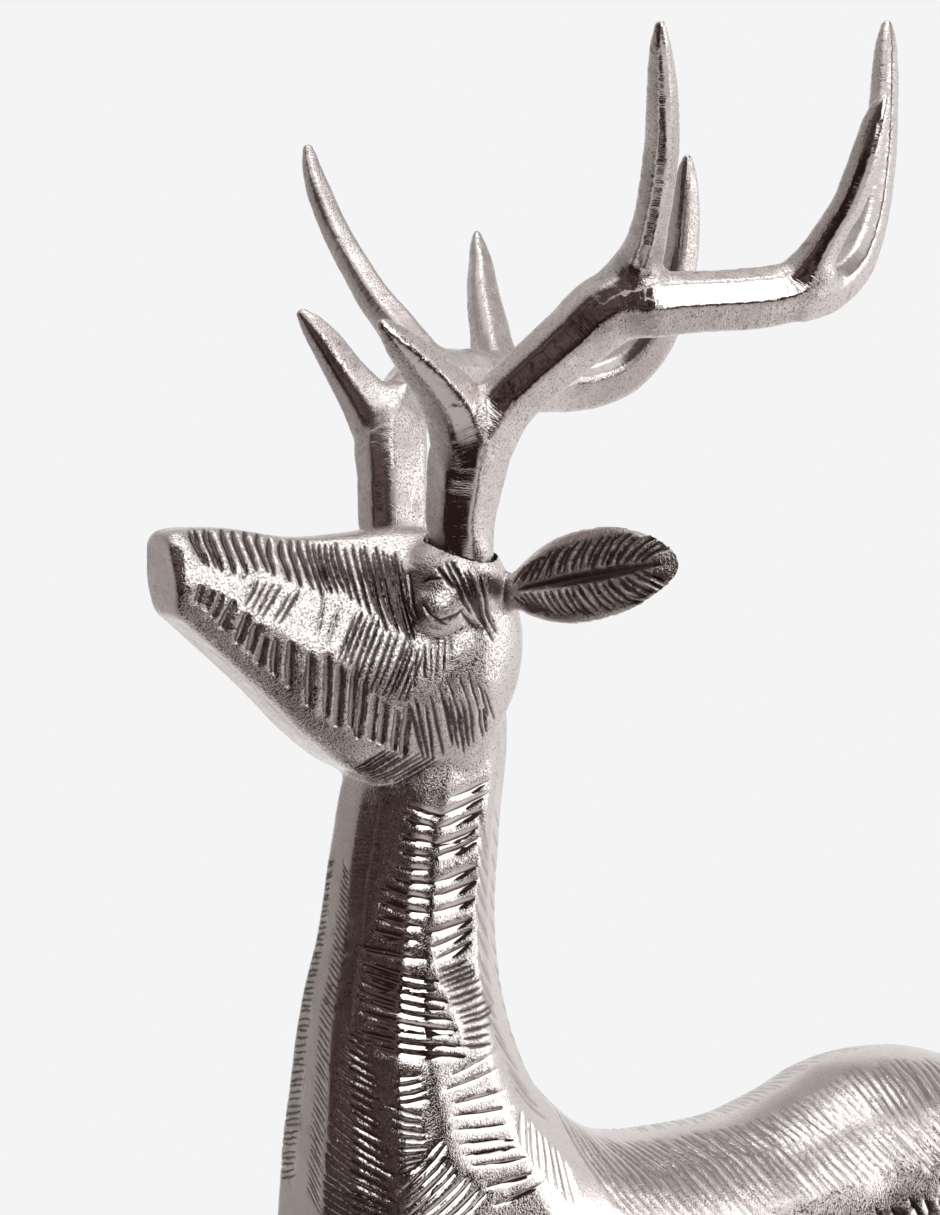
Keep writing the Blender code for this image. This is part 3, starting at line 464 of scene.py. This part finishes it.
def ear_rings(side, steps=16, around=96):
    """Leaf-shaped rings: half width times cos across, thickness times sin out, and a valley that
    rises to four fifths of the half width as a power of a sine and turns down again at the rim."""
    root, tip, up, forward = ear_frame(side)
    rows = smooth_rows(EAR_STATIONS, steps)
    share, half, thick, cup = columns(rows)
    angle = round_angles(around)
    across = half * np.cos(angle)
    valley = np.sin(np.abs(np.cos(angle)) * math.pi / 1.6) ** 1.2
    out = thick / 2 * signed_power(np.sin(angle), 0.7) + cup * valley
    centre = root + share * (tip - root)
    return centre[:, None] + across[..., None] * up + out[..., None] * forward


def bulge_rings(centre, radii, side, steps=40, around=64):
    """An ellipsoid: rings of radius sin of the height angle, each axis with its own radius."""
    height = np.linspace(0.02, math.pi - 0.02, steps)[:, None]
    angle = round_angles(around)
    wide, level = np.sin(height), np.cos(height) + 0 * angle
    ball = np.stack([wide * np.cos(angle), wide * np.sin(angle), level], -1)
    return ball * radii + np.array(centre) * [1, side, 1]


def branch_rings(points, flats, steps=10, around=64):
    """Rings square to a branch's path, with half-ball ends. The radius is cut by the filed flats:
    the nearer of the circle and each flat's distance over the cosine of the angle to it."""
    rows = smooth_rows(points, steps)
    path, radius = rows[:, :3], rows[:, 3:]
    run = np.gradient(path, axis=0)
    run /= np.linalg.norm(run, axis=1, keepdims=True)
    bend = np.linspace(0.1, math.pi / 2, 8)[:-1, None]
    first = path[0] - run[0] * radius[0] * np.cos(bend)
    last = path[-1] + run[-1] * radius[-1] * np.cos(bend[::-1])
    path = np.vstack([first, path, last])
    radius = np.vstack([radius[0] * np.sin(bend), radius, radius[-1] * np.sin(bend[::-1])])
    run = np.vstack([np.repeat(run[:1], len(bend), 0), run, np.repeat(run[-1:], len(bend), 0)])
    facing = np.array(FLATS_FACE)
    across = np.cross(run, facing)
    across /= np.linalg.norm(across, axis=1, keepdims=True)
    facing = np.cross(across, run)
    angle = round_angles(around)
    size = np.ones((len(path), around))
    for degrees, flat in flats:
        turned = np.maximum(np.cos(angle - math.radians(degrees)), 0.05)
        size = np.minimum(size, flat / turned)
    reach = radius * size
    ring = path[:, None] + (reach * np.cos(angle))[..., None] * facing[:, None]
    return ring + (reach * np.sin(angle))[..., None] * across[:, None]


# Meshes


def mesh_of(name, points, faces):
    """An object from points in millimetres and faces of equal length."""
    mesh = bpy.data.meshes.new(name)
    mesh.from_pydata((points * MM).tolist(), [], faces.tolist())
    obj = bpy.data.objects.new(name, mesh)
    bpy.context.scene.collection.objects.link(obj)
    return obj


def settle(obj):
    """Turns the object's modifiers into its own mesh."""
    graph = bpy.context.evaluated_depsgraph_get()
    mesh = bpy.data.meshes.new_from_object(obj.evaluated_get(graph))
    obj.modifiers.clear()
    old = obj.data
    obj.data = mesh
    bpy.data.meshes.remove(old)


def gather(name, tubes):
    """One object of many closed tubes, which may pass through each other."""
    points, faces, start = [], [], 0
    for tube_points, tube_faces in tubes:
        points.append(tube_points)
        faces.append(tube_faces + start)
        start += len(tube_points)
    return mesh_of(name, np.vstack(points), np.vstack(faces))


def skin_over(obj, voxel, smoothing):
    """One skin round all that overlaps: a voxel remesh, softened a little."""
    remesh = obj.modifiers.new("Skin", "REMESH")
    remesh.mode = "VOXEL"
    remesh.voxel_size = voxel * MM
    soften = obj.modifiers.new("Soften", "SMOOTH")
    soften.factor = 0.5
    soften.iterations = smoothing
    settle(obj)


def read_pairs(obj):
    """The two points of every edge."""
    pairs = np.empty(len(obj.data.edges) * 2, np.int32)
    obj.data.edges.foreach_get("vertices", pairs)
    return pairs.reshape(-1, 2)


def mean_round(values, pairs):
    """For every point, the mean of the values at its neighbours."""
    count = len(values)
    first, second = pairs.T
    total = [
        np.bincount(first, column[second], count) + np.bincount(second, column[first], count)
        for column in values.T
    ]
    return np.stack(total, 1) / np.maximum(np.bincount(pairs.ravel(), minlength=count), 1)[:, None]


def fill_corners(obj, steps):
    """Rounds out the hollow corners where branches meet: a point moves towards the mean of its
    neighbours only when that lies outside the skin, so ridges and tips stay."""
    pairs = read_pairs(obj)
    points, looks = read_skin(obj)
    for step in range(steps):
        pull = mean_round(points, pairs) - points
        points = points + np.where((pull * looks).sum(1, keepdims=True) > 0, pull, 0) * 0.8
        if step % 10 == 9:
            write_skin(obj, points)
            points, looks = read_skin(obj)
    write_skin(obj, points)


def carved_finely(points):
    """Which points are on the head and neck, whose strokes need the smallest faces."""
    return (points[:, 2] > FINE_ABOVE) & (points[:, 0] < FINE_BEFORE)


def split_quads(obj):
    """Cuts each finely carved quad into four at its edges' middles. The quads beside them take up
    the new points on their shared edges, so the skin stays closed."""
    mesh = obj.data
    quads = np.empty(len(mesh.loops), np.int32)
    edges = np.empty(len(mesh.loops), np.int32)
    mesh.loops.foreach_get("vertex_index", quads)
    mesh.loops.foreach_get("edge_index", edges)
    quads, edges = quads.reshape(-1, 4), edges.reshape(-1, 4)
    points, _ = read_skin(obj)
    pairs = read_pairs(obj)
    chosen = carved_finely(points)[quads].any(axis=1)
    split = np.unique(edges[chosen])
    number = np.full(len(pairs), -1)
    number[split] = len(points) + np.arange(len(split))
    middles = points[pairs[split]].mean(axis=1)
    centres = points[quads[chosen]].mean(axis=1)
    centre = len(points) + len(split) + np.arange(int(chosen.sum()))
    corner, edge = quads[chosen], number[edges[chosen]]
    small = [np.stack([corner[:, k], edge[:, k], centre, edge[:, k - 1]], 1) for k in range(4)]
    small = np.vstack(small)
    rest = np.stack([quads[~chosen], number[edges[~chosen]]], -1).reshape(-1, 8)
    kept = rest >= 0
    totals = np.concatenate([np.full(len(small), 4), kept.sum(axis=1)])
    corners = np.concatenate([small.ravel(), rest[kept]])
    new = bpy.data.meshes.new(mesh.name)
    everything = np.vstack([points, middles, centres]) * MM
    new.vertices.add(len(everything))
    new.loops.add(len(corners))
    new.polygons.add(len(totals))
    new.vertices.foreach_set("co", everything.astype(np.float32).ravel())
    new.loops.foreach_set("vertex_index", corners.astype(np.int32))
    new.polygons.foreach_set("loop_start", (np.cumsum(totals) - totals).astype(np.int32))
    new.update(calc_edges=True)
    obj.data = new
    bpy.data.meshes.remove(mesh)


def read_skin(obj):
    """The mesh's points in millimetres, and the direction that each looks."""
    count = len(obj.data.vertices)
    points, looks = np.empty(count * 3, np.float32), np.empty(count * 3, np.float32)
    obj.data.vertices.foreach_get("co", points)
    obj.data.vertices.foreach_get("normal", looks)
    return points.reshape(-1, 3).astype(float) / MM, looks.reshape(-1, 3).astype(float)


def write_skin(obj, points):
    obj.data.vertices.foreach_set("co", (points * MM).astype(np.float32).ravel())
    obj.data.update()


def add_measure(obj, name, values):
    """Keeps one number at each point, for the material."""
    layer = obj.data.attributes.new(name, "FLOAT", "POINT")
    layer.data.foreach_set("value", values.astype(np.float32))


def thin_out(obj, triangles):
    """Collapses edges, the flattest first, until so many triangles are left."""
    now = sum(len(face.vertices) - 2 for face in obj.data.polygons)
    thin = obj.modifiers.new("Thin", "DECIMATE")
    thin.use_collapse_triangulate = True
    thin.ratio = min(1.0, triangles / now)
    settle(obj)


def between(place, stops, values):
    """The values at places between stops, straight from one stop to the next."""
    return np.stack([np.interp(place, stops, column) for column in values.T], 1)


def on_line(line, shares):
    """Points at shares of the way through a list of points."""
    line = np.array(line, float)
    return between(shares * (len(line) - 1), np.arange(len(line)), line)


def in_box(points, corners, margin):
    """Which points lie in the box round the corners, widened by the margin."""
    low, high = corners.min(axis=0) - margin, corners.max(axis=0) + margin
    return np.all((points > low) & (points < high), axis=1)


def cut_stroke(points, looks, marks, near, start, end, width, depth, kind, bow):
    """Adds one chisel stroke to the depth, polish and painted dark of the points near it: patina and
    painted shade in the cut.

    Along the stroke, t runs from 0 to 1 and the cut's width and depth rise and fall as a power of
    sin(pi t). Across it, q is the distance over the half width and the cut is 1 - q to the power of
    its fullness. Where strokes cross, the deeper one counts."""
    fullness, ends, polish, patina_and_painted_shade = CUTS[kind]
    length = np.linalg.norm(end - start)
    run = (end - start) / length
    t = (points[near] - start) @ run / length
    inside = (t > 0) & (t < 1)
    near, t = near[inside], t[inside]
    if not len(near):
        return
    shares = np.linspace(0, 1, 5)
    stops = start + shares[:, None] * (end - start)
    gaps = ((points[near][None] - stops[:, None]) ** 2).sum(2)
    closest = near[gaps.argmin(axis=1)]
    here, facing = between(t, shares, points[closest]), between(t, shares, looks[closest])
    sideways = np.cross(run, facing)
    sideways /= np.linalg.norm(sideways, axis=1, keepdims=True) + 1e-9
    offset = points[near] - here
    full = np.sin(math.pi * t) ** ends
    across = (offset * sideways).sum(1) - bow * 4 * t * (1 - t)
    q = np.abs(across) / (width / 2 * full + 0.05)
    proper = ((offset * facing).sum(1) ** 2 < 9) & ((looks[near] * facing).sum(1) > 0.25) & (q < 1)
    cut = np.where(proper, depth * full * (1 - q**fullness), 0)
    deeper = cut > marks[near, 0]
    near, cut, q = near[deeper], cut[deeper], q[deeper]
    # the dark painted along the cut's middle: patina, and painted shade for the cut's own shadow
    bright, dark = polish * np.clip(3 - 3 * q, 0, 1), patina_and_painted_shade * np.clip(2.5 - 2.5 * q, 0, 1)
    marks[near] = np.stack([cut, bright, dark], 1)


def cut_row(points, looks, marks, row, seed, sides=(1, -1)):
    """A row of strokes between two guide lines, each a little off in place, length and depth."""
    number, width, depth, kind, bow, starts, ends = row
    for side in sides:
        luck = np.random.default_rng(seed + (0 if side == 1 else 1000))
        flip = np.array([1, side, 1])
        shares = (np.arange(number) + luck.uniform(-0.16, 0.16, number)) / max(number - 1, 1)
        shares = np.clip(shares, 0, 1)
        heads = on_line(starts, shares) * flip
        shares = np.clip(shares + luck.uniform(-0.1, 0.1, number) / number, 0, 1)
        tails = on_line(ends, shares) * flip
        spread = luck.uniform(-0.08, 0.08, (2, number, 1))
        heads, tails = heads + spread[0] * (tails - heads), tails + spread[1] * (tails - heads)
        widths = width * (1 + luck.uniform(-0.18, 0.18, number))
        deeps = depth * (1 + luck.uniform(-0.3, 0.2, number))
        zone = np.flatnonzero(in_box(points, np.vstack([heads, tails]), 4))
        for k in range(number):
            near = zone[in_box(points[zone], np.stack([heads[k], tails[k]]), 3.5)]
            stroke = heads[k], tails[k], widths[k], deeps[k], kind, bow * side
            cut_stroke(points, looks, marks, near, *stroke)


def ear_rows(side):
    """Ribs of the ear's leaf: strokes from the middle valley out to each edge, in its own frame."""
    root, tip, up, forward = ear_frame(side)
    shares = np.linspace(0.2, 0.95, 6)[:, None]
    place, *sizes = np.array(EAR_STATIONS).T
    half, thick, cup = (np.interp(shares, place, size) for size in sizes)
    rows = []
    for edge in (1, -1):
        start = root + (shares - 0.10) * (tip - root) + edge * half * 0.2 * up
        start = start + (thick / 2 + 0.6) * forward
        reach = 0.86 if edge == 1 else 0.74
        end = root + (shares + 0.06) * (tip - root) + edge * half * reach * up
        end = end + (cup + thick * 0.4) * forward
        start, end = start * [1, side, 1], end * [1, side, 1]
        rows.append((19, 1.4, 0.6, "vee", 0.5 * edge, start, end))
    valley = [root + share * (tip - root) + out * forward for share, out in ((0.1, 2.6), (0.95, 1.6))]
    valley = np.array(valley) * [1, side, 1]
    rows.append((1, 3.2, 0.7, "vee", 0, valley[:1], valley[1:]))
    return rows


def foot_frame(branches):
    """An antler's seat on the crown, and the direction in which its foot rises out of the socket."""
    seat, above = np.array(branches["stem"], float)[:2, :3]
    return seat, (above - seat) / np.linalg.norm(above - seat)


def sink_socket(points, branches):
    """A round pocket for an antler's foot: points nearer to its axis than the wall drop to the
    floor."""
    seat, rise = foot_frame(branches)
    height = (points - seat) @ rise
    offset = points - seat - height[:, None] * rise
    gap = np.linalg.norm(offset, axis=1)
    above = height + SOCKET_DEPTH
    wall = branches["stem"][0][3] + SOCKET_SIDE_GAP + SOCKET_FLARE * np.clip(above, 0, SOCKET_REACH)
    inside = (gap < wall) & (height > -SOCKET_DEPTH) & (height < 14)
    drop = np.where(inside, above, 0)
    return points - drop[:, None] * rise


def make_body():
    """The carved casting: head, ears, neck, trunk, legs and tail."""
    rings = [section_rings(TRUNK_STATIONS, NECK_PLANES, NECK_STRENGTH)]
    rings += [section_rings(HEAD_STATIONS, HEAD_PLANES, HEAD_STRENGTH), limb_rings(TAIL)]
    for side in (1, -1):
        rings += [limb_rings(FRONT_LEG, side), limb_rings(HIND_LEG, side), ear_rings(side)]
        rings += [bulge_rings(EYE_CENTRE, EYE_RADII, side), bulge_rings(BOSS_CENTRE, BOSS_RADII, side)]
    body = gather("reindeer_carved", [tube(ring) for ring in rings])
    skin_over(body, SKIN_VOXEL, 4)
    fill_corners(body, CORNER_STEPS)
    points, _ = read_skin(body)
    for side in (1, -1):
        way = np.array(MUZZLE_PLANE[0]) * [1, side, 1]
        past = np.maximum(points @ way - MUZZLE_PLANE[1], 0) * (points[:, 2] > 350)
        points = points - past[:, None] * way
    write_skin(body, points)
    split_quads(body)
    points, _ = read_skin(body)
    fine = carved_finely(points)[:, None]
    pairs = read_pairs(body)
    for _ in range(3):
        points = points + np.where(fine, 0.6 * (mean_round(points, pairs) - points), 0)
    write_skin(body, points)
    points, looks = read_skin(body)
    marks = np.zeros((len(points), 3))
    for seed, row in enumerate(STROKE_ROWS.values()):
        cut_row(points, looks, marks, row, 10 * seed)
    for side in (1, -1):
        for seed, row in enumerate(ear_rows(side)):
            cut_row(points, looks, marks, row, 500 + seed, sides=(side,))
    buffed = 0.5 * np.clip((BUFFED_BELOW - points[:, 2]) / BUFF_FADE, 0, 1)
    marks[:, 1] = np.maximum(marks[:, 1], buffed)
    rough = np.clip(1 - 1.5 * marks[:, 1], 0.4, 1)
    fine_swell = 0.05 * wander(points, 2.6, 2) + 0.03 * wander(points, 1.1, 3)
    swell = 0.10 * wander(points, 9.0, 1) + rough * fine_swell
    points = points + looks * (swell - marks[:, 0])[:, None]
    points = sink_socket(sink_socket(points, LEFT_ANTLER), RIGHT_ANTLER)
    points[:, 2] = np.maximum(points[:, 2], HOOF_SOLE)
    write_skin(body, points)
    add_measure(body, "polish", marks[:, 1])
    # dark painted in the strokes: patina and painted shade
    add_measure(body, "patina_and_painted_shade", marks[:, 2])
    thin_out(body, SKIN_TRIANGLES)
    return body


def place_on_branches(points, branches):
    """For every point, the way along the nearest branch and round it in millimetres, and the angle
    round it in degrees."""
    along, around, turn = np.zeros((3, len(points)))
    nearest = np.full(len(points), 1e9)
    run_so_far = 0.0
    for stations in branches.values():
        rows = smooth_rows(stations, 6)
        path = rows[:, :3]
        steps = np.diff(path, axis=0)
        lengths = np.linalg.norm(steps, axis=1)
        starts = run_so_far + np.concatenate([[0], np.cumsum(lengths)[:-1]])
        run_so_far += lengths.sum() + 50
        for start, step, length, begun in zip(path[:-1], steps / lengths[:, None], lengths, starts):
            offset = points - start
            way = np.clip(offset @ step, 0, length)
            spoke = offset - way[:, None] * step
            gap = np.linalg.norm(spoke, axis=1)
            side = np.cross(step, FLATS_FACE)
            angle = np.arctan2(spoke @ side, spoke @ np.cross(side, step))
            closer = gap < nearest
            nearest = np.where(closer, gap, nearest)
            along = np.where(closer, begun + way, along)
            around = np.where(closer, angle * gap, around)
            turn = np.where(closer, np.degrees(angle), turn)
    return along, around, turn


def make_antler(name, branches, flats, bright, seed):
    """One antler: filed branches grown together, a flat foot just clear of the socket's floor. One
    flat, between two angles round each branch, is left bright from the file."""
    seat, rise = foot_frame(branches)
    radius = branches["stem"][0][3]
    plug = [(*(seat - rise * SOCKET_DEPTH * 2), radius)]
    paths = [plug + path if key == "stem" else path for key, path in branches.items()]
    tubes = [tube(branch_rings(path, flats)) for path in paths]
    collar = plug + [(*(seat + rise * 2), radius)]
    antler = gather(name, tubes + [tube(branch_rings(collar, []))])
    skin_over(antler, BLEND_VOXEL, 1)
    fill_corners(antler, FORK_STEPS)
    skin_over(antler, ANTLER_VOXEL, 4)
    points, looks = read_skin(antler)
    along, around, turn = place_on_branches(points, branches)
    filed = wander(np.stack([along / 0.9, around / 5.0, 0 * along], 1), 1.0, seed)
    pits = np.maximum(wander(points, 1.6, seed + 1) - 0.62, 0) * 0.3
    swell = 0.12 * wander(points, 7.0, seed + 2) + 0.04 * wander(points, 2.2, seed + 3) + 0.035 * filed
    points = points + looks * (swell - pits)[:, None]
    height = (points - seat) @ rise
    floor = -(SOCKET_DEPTH - SOCKET_FLOOR_GAP)
    points = points + np.maximum(floor - height, 0)[:, None] * rise
    write_skin(antler, points)
    low, high = bright
    inner = np.clip((turn - low + 6) / 12, 0, 1) * np.clip((high + 6 - turn) / 12, 0, 1)
    add_measure(antler, "polish", inner * (0.85 + 0.15 * wander(points, 12.0, seed + 4)))
    # dark painted in the dents: dirt, and painted shade in them
    add_measure(antler, "patina_and_painted_shade", np.clip(4 * pits, 0, 0.6))
    add_measure(antler, "along", along)
    add_measure(antler, "around", around)
    thin_out(antler, ANTLER_TRIANGLES)
    return antler


def make_base():
    """The oval plate: a superellipse outline, carried up a straight foot, a quarter round and over
    the flat top to a pole in the middle."""
    half_length, half_width = np.array(HOOF_SPREAD) + BASE_MARGIN
    bend = np.linspace(0, math.pi / 2, 9)
    rim = BASE_EDGE * (1 - np.array([np.cos(bend), np.sin(bend)]))
    inset = np.concatenate([[60, 30, 0.8, 0], rim[0], [4, 6, 10, 16, 24, 34]])
    height = np.concatenate([[0, 0, 0, 0.8], BASE_HEIGHT - rim[1], [BASE_HEIGHT] * 6])
    angle = round_angles(240)
    shrink = np.clip(1 - inset / half_width, 0.02, 1)[:, None]
    long_shrink = 1 - (1 - shrink) * half_width / half_length
    x = signed_power(np.cos(angle), 2 / BASE_POWER) * half_length * long_shrink
    y = signed_power(np.sin(angle), 2 / BASE_POWER) * half_width * shrink
    rings = np.stack([x, y, np.broadcast_to(height[:, None], x.shape)], -1)
    points, faces = tube(rings)
    return mesh_of("base_plate", points, faces)


# Finishes


def colour(hexed):
    """An sRGB hex colour as linear light."""
    channels = [int(hexed[k : k + 2], 16) / 255 for k in (1, 3, 5)]
    return (*(c / 12.92 if c <= 0.04045 else ((c + 0.055) / 1.055) ** 2.4 for c in channels), 1.0)


def add(tree, kind, settings=None, **links):
    """Adds a shader node of a kind: settings by attribute, input name or input number, links by
    input name (with _ for a space) or _ and the input's number."""
    node = tree.nodes.new("ShaderNode" + kind)
    for key, value in (settings or {}).items():
        if isinstance(key, str) and hasattr(node, key):
            setattr(node, key, value)
        else:
            node.inputs[key].default_value = value
    for key, source in links.items():
        target = node.inputs[int(key[1:])] if key[0] == "_" else node.inputs[key.replace("_", " ")]
        tree.links.new(source, target)
    return node


def nickel(name, roughness, filed=False):
    """Nickel-plated cast aluminium, chased by hand: a rough, sparkling cast skin with sharp small
    highlights, mirror-bright where a scoop or the buff has gone over it, and painted dark in the
    cuts: partly patina, partly painted shade."""
    metal = bpy.data.materials.new(name)
    metal.use_nodes = True
    tree = metal.node_tree
    tree.nodes.clear()
    place = add(tree, "TexCoord").outputs["Object"]
    # cast grain of about 0.5 mm, and clouds of about 4 mm where the buff has passed
    grain = add(tree, "TexNoise", {"Scale": 1900.0, "Detail": 3.0}, Vector=place).outputs["Fac"]
    clouds = add(tree, "TexNoise", {"Scale": 240.0, "Detail": 3.0}, Vector=place).outputs["Fac"]

    def ramp(value, from_low, from_high, low, high):
        ends = {"From Min": from_low, "From Max": from_high, "To Min": low, "To Max": high}
        return add(tree, "MapRange", ends, Value=value).outputs["Result"]

    def times(first, second):
        return add(tree, "Math", {"operation": "MULTIPLY"}, _0=first, _1=second).outputs["Value"]

    def measure(kept):
        return add(tree, "Attribute", {"attribute_name": kept}).outputs["Fac"]

    unpolished = ramp(measure("polish"), 0.1, 0.9, 1.0, 0.0)
    rough = times(unpolished, ramp(clouds, 0.35, 0.65, roughness * 0.3, roughness * 1.1))
    rough = add(tree, "Math", {"operation": "ADD", 1: 0.05}, _0=rough).outputs["Value"]
    specks = ramp(grain, 0.44, 0.74, 0.0, 1.0)
    pits = times(unpolished, ramp(grain, 0.56, 0.66, 0.0, 0.5))
    # random dark specks on the unbuffed skin, and the dark painted in the cuts: patina and painted shade
    dark = add(tree, "Math", {"operation": "MAXIMUM"}, _0=measure("patina_and_painted_shade"), _1=pits).outputs["Value"]
    shade = add(tree, "Mix", {"data_type": "RGBA", 6: colour(NICKEL), 7: colour(DIRT_AND_SHADE)}, _0=dark)
    relief = times(unpolished, ramp(clouds, 0.35, 0.65, 0.6, 1.0))
    bump = add(tree, "Bump", {"Distance": 0.00009}, Height=specks, Strength=relief)
    if filed:
        # file marks across the branch: 0.35 mm apart along it, 3 mm long round it
        along, around = ramp(measure("along"), 0, 1, 0, 2.8), ramp(measure("around"), 0, 1, 0, 0.33)
        along.node.clamp = around.node.clamp = False
        stretched = add(tree, "CombineXYZ", X=along, Y=around)
        marks = add(tree, "TexNoise", {"Scale": 1.0, "Detail": 2.0}, Vector=stretched.outputs["Vector"])
        filing = add(tree, "Bump", {"Strength": 0.5, "Distance": 0.00012}, Height=marks.outputs["Fac"])
        tree.links.new(bump.outputs["Normal"], filing.inputs["Normal"])
        bump = filing
    surface = add(tree, "BsdfPrincipled", {"Metallic": 1.0})
    tree.links.new(shade.outputs[2], surface.inputs["Base Color"])
    tree.links.new(rough, surface.inputs["Roughness"])
    tree.links.new(bump.outputs["Normal"], surface.inputs["Normal"])
    add(tree, "OutputMaterial", Surface=surface.outputs["BSDF"])
    return metal


def wear(obj, metal, corner=50):
    """Gives the piece its finish, smooth up to the corner angle."""
    obj.data.materials.clear()
    obj.data.materials.append(metal)
    obj.data.polygons.foreach_set("use_smooth", [True] * len(obj.data.polygons))
    obj.data.set_sharp_from_angle(angle=math.radians(corner))


# Studio


def add_camera():
    camera = bpy.data.objects.new("camera", bpy.data.cameras.new("camera"))
    bpy.context.scene.collection.objects.link(camera)
    level = math.cos(CAMERA_DIP)
    ahead = Vector((AWAY[0] * level, AWAY[1] * level, -math.sin(CAMERA_DIP)))
    right = Vector(RIGHT)
    up = right.cross(ahead)
    look = Matrix((right, up, -ahead)).transposed().to_4x4()
    camera.matrix_world = Matrix.Translation(CAMERA_PLACE) @ look
    camera.data.sensor_fit = "VERTICAL"
    camera.data.sensor_height = 36
    camera.data.lens = LENS
    camera.data.clip_start = 0.01
    bpy.context.scene.camera = camera


def add_softbox(name, place, target, size, watts):
    """A rectangular softbox at a place, looking at the target, so big and so strong."""
    lamp = bpy.data.lights.new(name, "AREA")
    lamp.shape = "RECTANGLE"
    lamp.size, lamp.size_y = size
    lamp.energy = watts
    obj = bpy.data.objects.new(name, lamp)
    look = (Vector(target) - Vector(place)).to_track_quat("-Z", "Y").to_matrix().to_4x4()
    obj.matrix_world = Matrix.Translation(place) @ look
    bpy.context.scene.collection.objects.link(obj)


def add_studio():
    """A pale round table in front of a white sweep, a dark room on the camera's side."""
    angle = round_angles(96)
    reach = np.array([[450.0], [446.0], [150.0]])
    level = np.array([[-2.0], [0.0], [0.0]])
    rings = np.stack([reach * np.cos(angle), reach * np.sin(angle), level + 0 * angle], -1)
    points, faces = tube(rings)
    floor = mesh_of("floor", points, faces)
    paint = bpy.data.materials.new("matt_white_paint")
    paint.use_nodes = True
    surface = paint.node_tree.nodes["Principled BSDF"]
    surface.inputs["Base Color"].default_value = colour("#F1F1F0")
    surface.inputs["Roughness"].default_value = 0.7
    floor.data.materials.append(paint)
    floor.visible_glossy = False

    world = bpy.data.worlds.new("studio")
    world.use_nodes = True
    bpy.context.scene.world = world
    tree = world.node_tree
    tree.nodes.clear()
    way = add(tree, "TexCoord").outputs["Generated"]
    behind, beside = (
        add(tree, "VectorMath", {"operation": "DOT_PRODUCT", 1: axis}, _0=way).outputs["Value"]
        for axis in (AWAY, RIGHT)
    )
    height = add(tree, "SeparateXYZ", _0=way).outputs["Z"]

    def ramp(value, low, high):
        ends = {"interpolation_type": "SMOOTHSTEP", "From Min": low, "From Max": high}
        return add(tree, "MapRange", ends, Value=value).outputs["Result"]

    def blend(share, first, second):
        mix = add(tree, "Mix", {"data_type": "RGBA"}, _0=share)
        for number, given in ((6, first), (7, second)):
            if isinstance(given, str):
                mix.inputs[number].default_value = colour(given)
            else:
                tree.links.new(given, mix.inputs[number])
        return mix.outputs[2]

    # the dark room: brown and cluttered at eye height, the lit table below it, a lamp overhead
    clutter = add(tree, "TexNoise", {"Scale": 5.0, "Detail": 3.0}, Vector=way).outputs["Fac"]
    clutter = blend(ramp(clutter, 0.44, 0.64), "#271B19", "#6E5F5B")
    table = blend(ramp(beside, -0.10, 0.25), "#2C1F1D", "#CAC3C1")
    table = blend(ramp(height, -0.76, -0.90), table, "#D8D4D2")
    room = blend(ramp(height, -0.28, -0.50), clutter, table)
    for low, high, tone in ((-0.90, -0.96, SHADE), (0.30, 0.65, "#5F524F"), (0.64, 0.80, WHITE)):
        room = blend(ramp(height, low, high), room, tone)
    # the white sweep: dimmer at its left end and high up
    sweep = blend(ramp(beside, -0.85, -0.25), "#9A9491", WHITE)
    for low, high, tone in ((0.30, 0.75, "#AFA9A6"), (0.80, 0.93, WHITE), (-0.90, -0.96, SHADE)):
        sweep = blend(ramp(height, low, high), sweep, tone)
    studio = blend(ramp(behind, -0.22, 0.12), room, sweep)
    seen = add(tree, "LightPath").outputs["Is Camera Ray"]
    light = add(tree, "Background", Color=blend(seen, studio, "#F4F4F4"))
    add(tree, "OutputWorld", Surface=light.outputs["Background"])

    add_softbox("softbox_front", (0.03, -1.01, 0.86), (-0.05, 0, 0.35), (0.70, 1.0), 4.4)
    add_softbox("softbox_top", (0.10, 0.0, 1.5), (0.05, 0, 0.35), (0.60, 0.60), 1.6)
    add_softbox("softbox_right", (0.75, -0.58, 0.54), (-0.05, 0, 0.35), (0.55, 0.98), 2.6)
    bpy.context.scene.view_settings.view_transform = "Standard"


# The piece

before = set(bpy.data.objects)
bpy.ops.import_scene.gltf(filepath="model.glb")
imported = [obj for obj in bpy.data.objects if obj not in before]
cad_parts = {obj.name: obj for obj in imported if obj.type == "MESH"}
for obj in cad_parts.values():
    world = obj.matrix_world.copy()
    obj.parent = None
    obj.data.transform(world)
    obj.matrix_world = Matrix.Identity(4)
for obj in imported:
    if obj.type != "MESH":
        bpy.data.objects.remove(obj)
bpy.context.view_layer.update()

add_camera()
add_studio()

PIECES = [
    (make_body(), "reindeer", nickel("chased_nickel_plate_body", 0.11)),
    (make_antler("antler_left_filed", LEFT_ANTLER, LEFT_FLATS, LEFT_BRIGHT, 31), "antler_left",
     nickel("filed_nickel_plate_antler_left", 0.26, filed=True)),
    (make_antler("antler_right_filed", RIGHT_ANTLER, RIGHT_FLATS, RIGHT_BRIGHT, 47), "antler_right",
     nickel("filed_nickel_plate_antler_right", 0.26, filed=True)),
    (make_base(), "base", nickel("satin_nickel_plate_base", 0.14)),
]
for piece, node, metal in PIECES:
    wear(piece, metal)
    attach(piece, "root")
    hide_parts(node)
